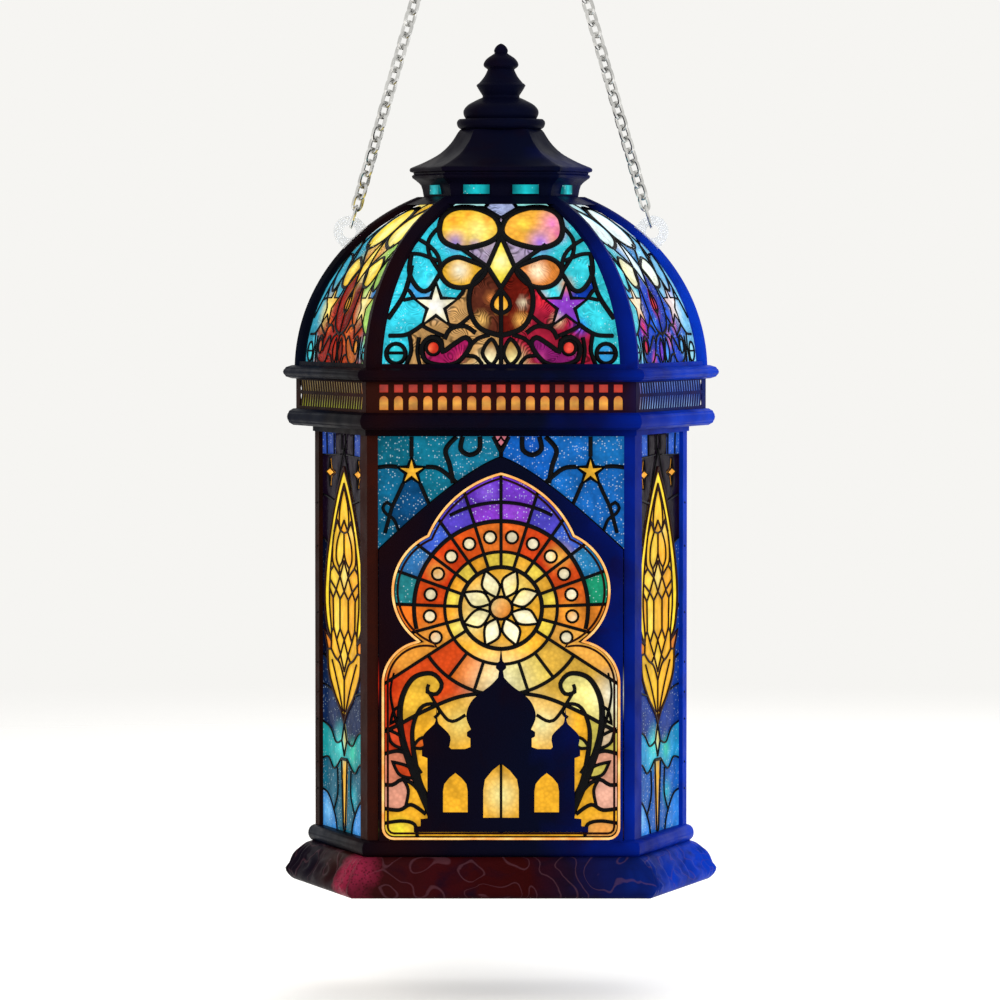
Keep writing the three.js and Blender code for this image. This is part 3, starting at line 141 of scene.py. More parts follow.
@dataclass(frozen=True)
class Plan:
    """A six-sided plan with wide front and back faces and a corner at each side.

    Attributes:
        half_width: From the centre to a side corner.
        front_half: Half the length of the front face.
        half_depth: From the centre to the front face.
    """

    half_width: float
    front_half: float
    half_depth: float

    def grown(self, distance: float) -> "Plan":
        """The plan with every face moved out by a distance.

        Args:
            distance: Millimetres, negative to move in.

        Returns:
            The new plan.
        """
        lean = (self.half_width - self.front_half) / self.half_depth
        half_width = self.half_width + distance * math.hypot(1, lean)
        half_depth = self.half_depth + distance
        return Plan(half_width, half_width - lean * half_depth, half_depth)

    def scaled(self, share: float) -> "Plan":
        """The plan with every size times a share."""
        return Plan(self.half_width * share, self.front_half * share, self.half_depth * share)

    def corners(self) -> list[Vector]:
        """The six corners, from the front left one.

        Returns:
            Points at level 0.
        """
        w, f, d = self.half_width, self.front_half, self.half_depth
        flat = [(-f, -d), (f, -d), (w, 0), (f, d), (-f, d), (-w, 0)]
        return [Vector((x, y, 0)) for x, y in flat]

    def face(self, side: Side) -> tuple[Vector, Vector]:
        """The left and the right corner of a face, as seen from outside."""
        corners = self.corners()
        return corners[side.value], corners[(side.value + 1) % 6]


def low(node: str) -> Vector:
    """The lowest corner of a CAD node, in millimetres."""
    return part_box(node)[0] / MM


def high(node: str) -> Vector:
    """The highest corner of a CAD node, in millimetres."""
    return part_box(node)[1] / MM


FRONT_HALF = 39.2
BODY = Plan(high("right_post").x, FRONT_HALF, -low("front_left_post").y)
EAVE = Plan(high("dome_cage").x, FRONT_HALF, high("dome_cage").y)

GROUND = low("foot").z
FOOT_TOP = high("foot").z
DECK = low("front_left_post").z
RAIL = high("front_left_post").z
FRIEZE_FOOT = low("front_frieze").z
FRIEZE_TOP = high("front_frieze").z
DOME_FOOT = low("dome_cage").z
DOME_TOP = high("dome_cage").z
CAP_TOP = high("roof_cap").z

DOME_CENTRE_DROP = 1.6
DOME_RISE = 56.6
DOME_PANE_DEPTH = 1.7
PANE_DEPTH = 1.5
PANE_THICKNESS = 2.0


def wall(plan: Plan, side: Side, foot: float, shift: float = 0.0) -> Surface:
    """A flat face as a surface to draw on.

    Args:
        plan: The plan whose face it is.
        side: Which face.
        foot: Level of v = 0.
        shift: How far the drawing moves along the face.

    Returns:
        A function of u along the face, v up it and the distance out of it.
    """
    left, right = plan.face(side)
    along = (right - left).normalized()
    out = Vector((along.y, -along.x, 0))
    middle = (left + right) / 2 + along * shift + Vector((0, 0, foot))
    return lambda u, v, d: middle + along * u + out * d + Vector((0, 0, v))


def dome_point(side: Side, u: float, v: float, depth: float) -> Vector:
    """A point of a dome face.

    Args:
        side: Which face.
        u: Distance along the front face from its middle; on the other faces it is squeezed to their length.
        v: Height over the foot of the dome.
        depth: Depth inside the dome's outer surface.

    Returns:
        The point.
    """
    rise = (v + DOME_CENTRE_DROP) / (DOME_RISE - depth)
    share = math.sqrt(max(0.0, 1 - min(1.0, rise) ** 2))
    left, right = EAVE.grown(-depth).scaled(share).face(side)
    squeeze = (right - left).length / (2 * FRONT_HALF * share) if share > 0.01 else 1
    along = (right - left).normalized()
    return (left + right) / 2 + along * u * squeeze + Vector((0, 0, DOME_FOOT + v))


def dome_wall(side: Side) -> Surface:
    """A dome face as a surface to draw on, at the front of its glass."""
    return lambda u, v, d: dome_point(side, u, v, DOME_PANE_DEPTH - d)


def dome_half(v: float) -> float:
    """Half the length of the front dome face at a height."""
    rise = (v + DOME_CENTRE_DROP) / (DOME_RISE - DOME_PANE_DEPTH)
    return EAVE.grown(-DOME_PANE_DEPTH).front_half * math.sqrt(max(0.0, 1 - min(1.0, rise) ** 2))


# Strokes that the cartoons are drawn with.
def curve(*points: Flat, closed: bool = False, step: float = 1.0) -> Line:
    """A smooth curve.

    Args:
        *points: What it passes through.
        closed: Whether it runs back to its start.
        step: Distance between the points of the result.

    Returns:
        The curve's points, with the first one repeated at the end if it is closed.
    """
    count = len(points)
    laps = count if closed else count - 1
    pick = (lambda i: points[i % count]) if closed else (lambda i: points[max(0, min(count - 1, i))])
    result: Line = []
    for i in range(laps):
        a, b, c, d = (np.array(pick(i + k), float) for k in (-1, 0, 1, 2))
        pieces = max(2, round(float(np.linalg.norm(c - b)) / step))
        for k in range(pieces):
            t = k / pieces
            bend = 2 * b + (c - a) * t + (2 * a - 5 * b + 4 * c - d) * t**2 + (3 * b - a - 3 * c + d) * t**3
            result.append((float(bend[0]) / 2, float(bend[1]) / 2))
    result.append(tuple(pick(laps)))
    return result


def loop(*points: Flat) -> Line:
    """A smooth closed curve through points."""
    return curve(*points, closed=True)


def straight(*points: Flat, step: float = 1.5) -> Line:
    """Straight runs.

    Args:
        *points: The ends of the runs.
        step: Distance between the points of the result.

    Returns:
        The line.
    """
    result: Line = []
    for (a, b), (c, d) in zip(points, points[1:]):
        pieces = max(1, round(math.hypot(c - a, d - b) / step))
        result += [(a + (c - a) * k / pieces, b + (d - b) * k / pieces) for k in range(pieces)]
    result.append(tuple(points[-1]))
    return result


def box(left: float, right: float, foot: float, head: float, step: float = math.inf) -> Line:
    """The closed outline of a rectangle, from its lower left corner."""
    return straight((left, foot), (right, foot), (right, head), (left, head), (left, foot), step=step)


def polar(centre: Flat, radius: float, angle: float) -> Flat:
    """The point at a radius and an angle in degrees from a centre."""
    turn = math.radians(angle)
    return (centre[0] + radius * math.cos(turn), centre[1] + radius * math.sin(turn))


def arc(centre: Flat, radius: float, start: float, end: float, step: float = 1.0) -> Line:
    """A circular arc.

    Args:
        centre: Its centre.
        radius: Its radius.
        start: Angle of its start, in degrees.
        end: Angle of its end, in degrees.
        step: Distance between the points of the result.

    Returns:
        The arc's points.
    """
    sweep = math.radians(end - start)
    pieces = max(3, round(abs(sweep) * radius / step))
    angles = [math.radians(start) + sweep * k / pieces for k in range(pieces + 1)]
    return [(centre[0] + radius * math.cos(a), centre[1] + radius * math.sin(a)) for a in angles]


def star(centre: Flat, outer: float, inner: float, tips: int = 5) -> Line:
    """A star with a tip at the top.

    Args:
        centre: Its centre.
        outer: Radius of its tips.
        inner: Radius of its notches.
        tips: How many tips.

    Returns:
        Its closed outline.
    """
    points = []
    for k in range(tips * 2 + 1):
        angle = math.pi / 2 + math.pi * k / tips
        radius = inner if k % 2 else outer
        points.append((centre[0] + radius * math.cos(angle), centre[1] + radius * math.sin(angle)))
    return points


def mirrored(line: Line) -> Line:
    """The line on the other side of the centre line."""
    return [(-u, v) for u, v in line]


def within(points: Sequence[Flat], outline: Sequence[Flat]) -> np.ndarray:
    """Which of the points lie inside a closed outline."""
    x, y = np.array(points, float).reshape(-1, 2).T
    odd = np.zeros(len(x), bool)
    for (a, b), (c, d) in zip(outline, [*outline[1:], outline[0]]):
        if b != d:
            odd ^= ((b > y) != (d > y)) & (x < (c - a) * (y - b) / (d - b) + a)
    return odd


def clipped(line: Line, outline: Sequence[Flat]) -> Line:
    """The part of a line, from its start, up to its first point outside an outline."""
    held = within(line, outline)
    return line if held.all() else line[: int(np.argmin(held)) + 1]


def leaf(base: Flat, tip: Flat, belly: float) -> Line:
    """A leaf's closed outline.

    Args:
        base: Where it grows.
        tip: Where it ends.
        belly: Half its width.

    Returns:
        The outline.
    """
    du, dv = tip[0] - base[0], tip[1] - base[1]
    size = math.hypot(du, dv)
    out = (-dv / size * belly, du / size * belly)
    at = lambda share, way: (base[0] + du * share + out[0] * way, base[1] + dv * share + out[1] * way)
    there = curve(base, at(0.3, 0.8), at(0.6, 1.0), tip)
    back = curve(tip, at(0.6, -0.7), at(0.3, -0.8), base)
    return there + back[1:]


# Cartoons.
class Metal(Enum):
    """What a lead line is made of."""

    LEAD = "lead_came"
    COPPER = "copper_foil_came"


@dataclass(frozen=True)
class Lead:
    """One lead line.

    Attributes:
        line: Its points.
        width: Its width.
        height: How far it stands over the glass.
        metal: What it is made of.
        taper: Share of the width that is left at its far end.
    """

    line: Line
    width: float
    height: float = 0.7
    metal: Metal = Metal.LEAD
    taper: float = 1.0

    @property
    def closed(self) -> bool:
        """Whether the line runs back to its start."""
        return math.dist(self.line[0], self.line[-1]) < 1e-6


@dataclass(frozen=True)
class Tint:
    """The colour of the piece of glass that a point lies in.

    Attributes:
        at: The point.
        code: The colour.
        gain: Factor on its light.
        hatch: How strongly it is engraved.
    """

    at: Flat
    code: str
    gain: float = 1.0
    hatch: float = 0.0


@dataclass(frozen=True)
class Glow:
    """A hot spot where the lamp shows through.

    Attributes:
        at: Its centre.
        radius: How far it reaches.
        code: Its colour.
        gain: Its strength.
    """

    at: Flat
    radius: float
    code: str
    gain: float


@dataclass
class Cartoon:
    """A window's full-size drawing.

    Attributes:
        outline: The edge of the glass.
        leads: Its lead lines.
        tints: The colours of its pieces.
        glows: Its hot spots.
    """

    outline: Line
    leads: list[Lead] = field(default_factory=list)
    tints: list[Tint] = field(default_factory=list)
    glows: list[Glow] = field(default_factory=list)

    def lead(self, line: Line, width: float, both: bool = True, **how: Metal | float) -> None:
        """Draws a lead line, and its mirror image unless it lies on the centre line.

        Args:
            line: Its points.
            width: Its width.
            both: Whether it has a mirror image.
            **how: Further attributes of the lead.
        """
        self.leads.append(Lead(line, width, **how))
        if both and any(abs(u) > 0.01 for u, _ in line):
            self.leads.append(Lead(mirrored(line), width, **how))

    def draw(self, rows: Rows, stretch: float = 1.0, **how: Metal | float) -> None:
        """Draws a table of lead lines.

        Args:
            rows: For each its stroke, its width, what the stroke takes, and perhaps more about the lead.
            stretch: Factor on their distance from the centre line.
            **how: What holds for all of them.
        """
        for stroke, width, *shape in rows:
            more = shape.pop() if isinstance(shape[-1], dict) else {}
            self.lead([(u * stretch, v) for u, v in stroke(*shape)], width, **how, **more)

    def tint(self, at: Flat, codes: str, gain: float = 1.0, hatch: float = 0.0) -> None:
        """Colours a piece of glass and its mirror image.

        Args:
            at: A point in the piece, on the left or on the centre line.
            codes: Its colour, and that of the mirror image if it differs.
            gain: Factor on the light of both.
            hatch: How strongly both are engraved.
        """
        left, *right = codes.split()
        self.tints.append(Tint(at, left, gain, hatch))
        if abs(at[0]) > 0.01:
            self.tints.append(Tint((-at[0], at[1]), right[0] if right else left, gain, hatch))

    def paint(self, rows: Rows, named: Optional[dict[str, str]] = None) -> None:
        """Colours pieces from rows of what tint() takes, where a colour may be one of the named ones."""
        for at, codes, *strength in rows:
            self.tint(at, (named or {}).get(codes, codes), *strength)

    def glow(self, rows: Rows, gain: float = 1.0) -> None:
        """Adds hot spots, each given by its place, reach and colour, with one factor on their light."""
        self.glows += [Glow((u, v), radius, code, gain) for u, v, radius, code in rows]


# Materials.
def per(size: float) -> float:
    """The texture scale at which a pattern repeats about every so many millimetres."""
    return 1 / (size * MM)


class Nodes:
    """The node tree of a material or of the world."""

    def __init__(self, owner: Material | bpy.types.World) -> None:
        """Clears the tree.

        Args:
            owner: The material or the world.
        """
        owner.use_nodes = True
        self.tree = owner.node_tree
        self.tree.nodes.clear()

    def add(self, kind: str, inputs: dict | Sequence, out: int | str = 0, **settings) -> Optional[Socket]:
        """Adds a node with its settings and links.

        Args:
            kind: Its type, without the first word that all types share.
            inputs: Values of its sockets or the sockets that feed them, in order or by name or number.
            out: Which output is wanted.
            **settings: Its own properties, and stops for the places and colours of a ramp.

        Returns:
            The output, if it has any.
        """
        node = self.tree.nodes.new(f"ShaderNode{kind}")
        stops = settings.pop("stops", ())
        for name, value in settings.items():
            setattr(node, name, value)
        for _ in stops[2:]:
            node.color_ramp.elements.new(0.5)
        for i, (place, code) in enumerate(stops):
            node.color_ramp.elements[i].position = place
            node.color_ramp.elements[i].color = linear(code)
        self.feed(node, inputs if isinstance(inputs, dict) else dict(enumerate(inputs)))
        return node.outputs[out] if node.outputs else None

    def feed(self, node: bpy.types.Node, inputs: dict) -> None:
        """Sets a node's sockets.

        Args:
            node: The node.
            inputs: Values of its sockets, or the sockets that feed them.
        """
        for name, value in inputs.items():
            if isinstance(value, bpy.types.NodeSocket):
                self.tree.links.new(value, node.inputs[name])
            else:
                node.inputs[name].default_value = value


class Coat(Nodes):
    """The node tree of one material, around a Principled shader."""

    def __init__(self, name: str) -> None:
        """Starts a material.

        Args:
            name: Its name.
        """
        self.material = bpy.data.materials.new(name)
        super().__init__(self.material)
        self.place = self.add("TexCoord", {}, "Object")
        surface = self.add("BsdfPrincipled", {})
        self.shader = surface.node
        self.add("OutputMaterial", {"Surface": surface})

    def cloud(self, size: float, detail: float = 3.0, warp: float = 0.0, to: Optional[Flat] = None,
              span: Flat = (0.3, 0.7), place: Optional[Socket] = None) -> Socket:
        """An unevenness of a size.

        Args:
            size: Its size in millimetres.
            detail: How many finer sizes it has as well.
            warp: How twisted it is.
            to: The range that its values are spread over, if they aren't to lie about 0.5.
            span: The part of its values that is spread over that range.
            place: Where it lies, if not where the piece does.

        Returns:
            Its value.
        """
        inputs = {"Vector": place or self.place, "Scale": per(size), "Detail": detail, "Distortion": warp}
        value = self.add("TexNoise", inputs, "Fac")
        return self.add("MapRange", (value, *span, *to)) if to else value

    def contours(self, size: float, lines: float) -> Socket:
        """Engraved lines from -1 to 1 that wander like a map's contour lines over hills of a size."""
        hills = self.add("Math", (self.cloud(size, 0.6, 0.4), lines), operation="MULTIPLY")
        return self.add("Math", (hills, 0.0), operation="SINE")

    def made(self, height: Socket, strength: float, depth: float,
             **sockets: Socket | Colour | float) -> Material:
        """Finishes the material.

        Args:
            height: What its relief follows.
            strength: The relief's share.
            depth: The relief's depth in millimetres.
            **sockets: Values of the shader's sockets, with an underscore for each space in their names.

        Returns:
            The material.
        """
        relief = {"Height": height, "Strength": strength, "Distance": depth * MM}
        self.feed(self.shader, {name.replace("_", " "): value for name, value in sockets.items()})
        self.feed(self.shader, {"Normal": self.add("Bump", relief)})
        return self.material


@dataclass(frozen=True)
class Enamel:
    """Enamel baked on metal: a near-black satin skin with painted light in its colour, the glow of the lit
    glass beside it, warm at the left, and a painted cobalt sheen at the right; with darker or redder patches
    where it has worn, and a shallow orange-peel relief.

    Attributes:
        stops: Its colours from the left corner (0) to the right one (1), with painted light in them: the
            warm glow of the lit glass at the left, a cobalt sheen at the right.
        patch: Colour of the worn patches.
        worn: Share of the patches.
        rough: Roughness.
        relief: Depth of the uneven coat in millimetres.
        blush: Colour of the hatched patch at the front left corner of the foot, if there is one.
    """

    stops: tuple[tuple[float, str], ...]
    patch: str
    worn: float
    rough: float
    relief: float
    blush: str = ""

    def made(self, name: str) -> Material:
        """Builds the material of that name."""
        coat = Coat(name)
        drift = coat.cloud(22, 2, 0.5, (-6 * MM, 6 * MM))
        across = coat.add("Math", (coat.add("SeparateXYZ", (coat.place,), "X"), drift), operation="ADD")
        across = coat.add("MapRange", (across, -60 * MM, 60 * MM, 0, 1))
        # Painted light: the colour runs from the warm glow of the lit glass at the left corner to a cobalt
        # sheen at the right one.
        colour = coat.add("ValToRGB", (across,), stops=self.stops)
        wear = coat.cloud(13, 5, 1.2, (0, self.worn), (0.52, 0.74))
        colour = coat.add("Mix", {0: wear, 6: colour, 7: linear(self.patch)}, 2, data_type="RGBA")
        height = coat.cloud(3.2, 4, 0.4)
        if self.blush:
            # Cast scrollwork, as raised lines some 4 mm apart, with a painted highlight along them. Finer
            # ones wouldn't show.
            engraved = coat.add("MapRange", (coat.contours(14, 40), 0.93, 0.99, 0, 1))
            height = coat.add("Math", (height, engraved), operation="ADD")
            # Painted highlight: the raised lines are paler.
            pale = coat.add("Math", (engraved, 0.22), operation="MULTIPLY")
            colour = coat.add("Mix", {0: pale, 6: colour, 7: linear("#6a4650")}, 2, data_type="RGBA")
            spot = [p * MM for p in (-43, -47, GROUND + 5)]
            far = coat.add("VectorMath", (coat.place, spot), "Value", operation="DISTANCE")
            pits = coat.add("TexVoronoi", {"Vector": coat.place, "Scale": per(0.9)}, "Distance")
            near = coat.add("MapRange", (far, 6 * MM, 11 * MM, 1, 0))
            hatch = coat.add("MapRange", (pits, 0.2, 0.5, 0.35, 1))
            share = coat.add("Math", (near, hatch), operation="MULTIPLY")
            colour = coat.add("Mix", {0: share, 6: colour, 7: linear(self.blush)}, 2, data_type="RGBA")
        rough = coat.cloud(6, 4, to=(self.rough - 0.07, self.rough + 0.1))
        return coat.made(height, 0.35, self.relief, Base_Color=colour, Roughness=rough,
                         Specular_IOR_Level=0.014)


@dataclass(frozen=True)
class LitGlass:
    """Rolled glass with a lamp behind it, whose light is painted on as a glow: each piece glows in its own
    colour, cloudy, with painted shade at the edges of its hammered dimples, engraved where the tint asks for
    it and with painted glints as bright flecks in its blues.

    Attributes:
        ripple: Size of the dimples. Seeds in real glass are finer and wouldn't show.
        relief: Depth of the dimples.
        mottle: Size of the cloudiness.
        light: Light of the darkest and of the brightest clouds.
        sparkle: Share of the surface that gets painted glints.
        streak: How much longer than wide the clouds are.
    """

    ripple: float
    relief: float
    mottle: float
    light: Flat
    sparkle: float
    streak: float = 1.0

    def made(self, name: str) -> Material:
        """Builds the material of that name."""
        coat = Coat(name)
        tint = coat.add("Attribute", {}, "Color", attribute_name="tint")
        place = coat.add("Mapping", {"Vector": coat.place, "Scale": (1, 1, 1 / self.streak)})
        clouds = coat.cloud(self.mottle, 4, 0.8, self.light, place=place)
        dimples = coat.add("TexVoronoi", {"Vector": coat.place, "Scale": per(self.ripple)}, "Distance")
        # Painted shade: the glow is darker towards the edges of the dimples.
        edge = coat.add("MapRange", (dimples, 0.1, 0.75, 1.08, 0.82))
        # Engraved strokes some 0.6 mm apart, in patches. Finer ones wouldn't show.
        strokes = coat.add("MapRange", (coat.contours(7, 150), -0.5, 0.3, -0.7, 0.25))
        patches = coat.cloud(4, 1, 0, (0.1, 1), (0.42, 0.54))
        carved = coat.add("Math", (strokes, patches), operation="MULTIPLY")
        carved = coat.add("Math", (carved, tint.node.outputs["Alpha"]), operation="MULTIPLY")
        carved = coat.add("Math", (carved, 1.0), operation="ADD")
        light = coat.add("Math", (clouds, edge), operation="MULTIPLY")
        light = coat.add("Math", (carved, light), operation="MULTIPLY")
        colour = self._glitter(coat, coat.add("VectorMath", {0: tint, "Scale": light}, operation="SCALE"))
        dim = coat.add("VectorMath", {0: colour, "Scale": 0.1}, operation="SCALE")
        # The glow is painted light, as from the lamp behind the glass.
        return coat.made(dimples, 0.5, self.relief, Base_Color=dim, Roughness=0.25, Emission_Color=colour,
                         Emission_Strength=1.0, Specular_IOR_Level=0.02)

    def _glitter(self, coat: Coat, colour: Socket) -> Socket:
        """Adds painted glints, bright flecks, to a colour's blues, at least 0.6 mm apart. Real glitter is
        finer.
        """
        flecks = coat.add("TexVoronoi", {"Vector": coat.place, "Scale": per(0.62)}, "Distance")
        chance = coat.add("SeparateColor", (flecks.node.outputs["Color"],))
        zone = coat.add("Math", (coat.cloud(9, 2, 0, (0, 1), (0.42, 0.66)), 0.12), operation="MULTIPLY")
        red = coat.add("SeparateColor", (colour,))
        blue = coat.add("Math", (red.node.outputs[2], red), operation="SUBTRACT")
        luck = coat.add("Math", (chance, zone), operation="ADD")
        picked = coat.add("Math", (luck, 1.04 - self.sparkle), operation="GREATER_THAN")
        near = coat.add("MapRange", (flecks, 0.12, 0.42, 1, 0))
        share = coat.add("Math", (picked, near), operation="MULTIPLY")
        blue = coat.add("MapRange", (blue, 0.0, 0.08, 0, 1))
        share = coat.add("Math", (share, blue), operation="MULTIPLY")
        # Painted glint: the colour of a fleck, near white.
        pale = coat.add("Mix", {0: 0.55, 6: colour, 7: linear("#e8fbff")}, 2, data_type="RGBA")
        return coat.add("Mix", {0: share, 6: colour, 7: pale}, 2, data_type="RGBA")


# Black enamel: a dark satin skin, coloured only by painted light: the glow of the lit glass beside it, warm
# at the left, and a cobalt sheen at the right.
ENAMEL = Enamel(
    stops=((0.0, "#030818"), (0.1, "#04040b"), (0.2, "#150609"), (0.34, "#090612"), (0.6, "#05081b"),
           (0.72, "#040c40"), (0.86, "#031d80"), (1.0, "#083abc")),
    patch="#100306", worn=0.3, rough=0.4, relief=0.1,
)
# Brown enamel with rusty patches: the frieze looks older and warmer than its cornices. Towards the right,
# painted cool light turns it navy.
BROWN_ENAMEL = Enamel(
    stops=((0.0, "#1c0f0c"), (0.2, "#2a0f0a"), (0.5, "#220a0c"), (0.78, "#1c0a18"), (0.9, "#101a4c"),
           (1.0, "#12205c")),
    patch="#3a1206", worn=0.4, rough=0.45, relief=0.15,
)
# Enamelled casting: maroon with dark patches, scrollwork with a painted highlight along its raised lines, a
# painted cobalt sheen towards the right, and the deepest relief of the three.
CAST = Enamel(
    stops=((0.0, "#120a16"), (0.12, "#260e0c"), (0.3, "#30080c"), (0.55, "#2a0606"), (0.68, "#140a1c"),
           (0.8, "#08144a"), (1.0, "#0c38b4")),
    patch="#0a0614", worn=0.75, rough=0.42, relief=0.3, blush="#8e2440",
)
# Hammered glass: coarse dimples that break up the light. Glitter glass: painted glints as bright flecks in
# its blues.
# Streaky glass: clouds drawn out upwards as the sheet was rolled.
HAMMERED = LitGlass(ripple=1.5, relief=0.25, mottle=7, light=(0.78, 1.25), sparkle=0.12)
GLITTER = LitGlass(ripple=1.1, relief=0.2, mottle=9, light=(0.72, 1.2), sparkle=0.3)
STREAKY = LitGlass(ripple=2.2, relief=0.15, mottle=10, light=(0.82, 1.15), sparkle=0.16, streak=2.0)


def plain_metal(name: str, code: str, rough: float, metallic: float, relief: float,
                gloss: float = 0.5) -> Material:
    """Metal of one colour with tarnish and a fine uneven surface.

    Args:
        name: Its name.
        code: Its colour.
        rough: Its roughness.
        metallic: Its metallic share.
        relief: Depth of its relief in millimetres.
        gloss: How much its patina shines.

    Returns:
        The material.
    """
    coat = Coat(name)
    dull = coat.cloud(4, 4, 0, (1.0, 0.7), (0.35, 0.7))
    colour = coat.add("VectorMath", {0: linear(code)[:3], "Scale": dull}, operation="SCALE")
    wear = coat.cloud(1.5, to=(rough - 0.05, rough + 0.08))
    return coat.made(coat.cloud(1.2), 0.3, relief, Base_Color=colour, Roughness=wear, Metallic=metallic,
                     Specular_IOR_Level=gloss)


def gilding() -> Material:
    """Gold paint brushed on wire: a warm line with redder places, which the light behind it makes glow."""
    coat = Coat("gilt_bead")
    inputs = {0: coat.cloud(5, 3, 0, (0, 1), (0.35, 0.65)), 6: linear("#e8933c"), 7: linear("#ffc878")}
    colour = coat.add("Mix", inputs, 2, data_type="RGBA")
    dim = coat.add("VectorMath", {0: colour, "Scale": 0.4}, operation="SCALE")
    return coat.made(coat.cloud(0.9, 2), 0.3, 0.1, Base_Color=dim, Roughness=0.3, Metallic=0.2,
                     Emission_Color=colour, Emission_Strength=0.85)


def liner_glass() -> Material:
    """Rolled glass behind the frieze: red over gold at the front, greenish gold at the left, pale blue at
    the right, all of it cloudy, so that no two openings look alike."""
    coat = Coat("lit_liner_glass")
    across = coat.add("SeparateXYZ", (coat.place,), "X")
    up = coat.add("MapRange", (across.node.outputs["Z"], FRIEZE_FOOT * MM, FRIEZE_TOP * MM, 0, 1))
    stops = [(0.0, "#c8661c"), (0.3, "#f0a83c"), (0.52, "#d8742a"), (0.62, "#c8341c"), (1.0, "#a82014")]
    colour = coat.add("ValToRGB", (up,), stops=stops)
    for end, *side_stops in (
        (-FRONT_HALF * MM, (0.0, "#b4bc3c"), (0.4, "#6a5a28"), (1.0, "#8a7448")),
        (FRONT_HALF * MM, (0.0, "#9cc4f0"), (0.5, "#3c5cc0"), (1.0, "#6a90e0")),
    ):
        beyond = coat.add("MapRange", (across, end, end + math.copysign(2 * MM, end), 0, 1))
        beside = coat.add("ValToRGB", (up,), stops=side_stops)
        colour = coat.add("Mix", {0: beyond, 6: colour, 7: beside}, 2, data_type="RGBA")
    cloud = coat.cloud(5, to=(0.5, 1.2))
    colour = coat.add("VectorMath", {0: colour, "Scale": cloud}, operation="SCALE")
    dim = coat.add("VectorMath", {0: colour, "Scale": 0.2}, operation="SCALE")
    # Its glow is painted light, as from the lamp inside.
    return coat.made(coat.cloud(1.5), 0.4, 0.2, Base_Color=dim, Roughness=0.3, Emission_Color=colour,
                     Emission_Strength=0.9)


def acrylic() -> Material:
    """Cast acrylic, flame-polished: clear, bright at its edges, with a faint haze that dulls the shine."""
    coat = Coat("clear_cast_acrylic")
    return coat.made(coat.cloud(2, 2), 0.2, 0.05, Base_Color=linear("#f4f7fa"), IOR=1.49,
                     Transmission_Weight=0.72, Roughness=coat.cloud(3, to=(0.06, 0.22)))


def soft_stuff(name: str, code: str, rough: float, glow: float = 0.0, scatter: float = 0.0) -> Material:
    """Wax or moulded plastic, with a faint unevenness of its colour and surface.

    Args:
        name: Its name.
        code: Its colour.
        rough: Its roughness.
        glow: Strength of its own light.
        scatter: Share of the light that scatters inside it.

    Returns:
        The material.
    """
    coat = Coat(name)
    cloud = coat.cloud(6, to=(0.92, 1.05))
    colour = coat.add("VectorMath", {0: linear(code)[:3], "Scale": cloud}, operation="SCALE")
    light = {"Emission_Color": colour, "Emission_Strength": glow} if glow else {}
    return coat.made(coat.cloud(1, 2), 0.25, 0.08, Base_Color=colour, Roughness=rough,
                     Subsurface_Weight=scatter, Subsurface_Radius=(0.004, 0.002, 0.001), **light)


# Mesh drafting.
def turns(count: int) -> list[float]:
    """Angles spread evenly over one turn."""
    return [2 * math.pi * k / count for k in range(count)]


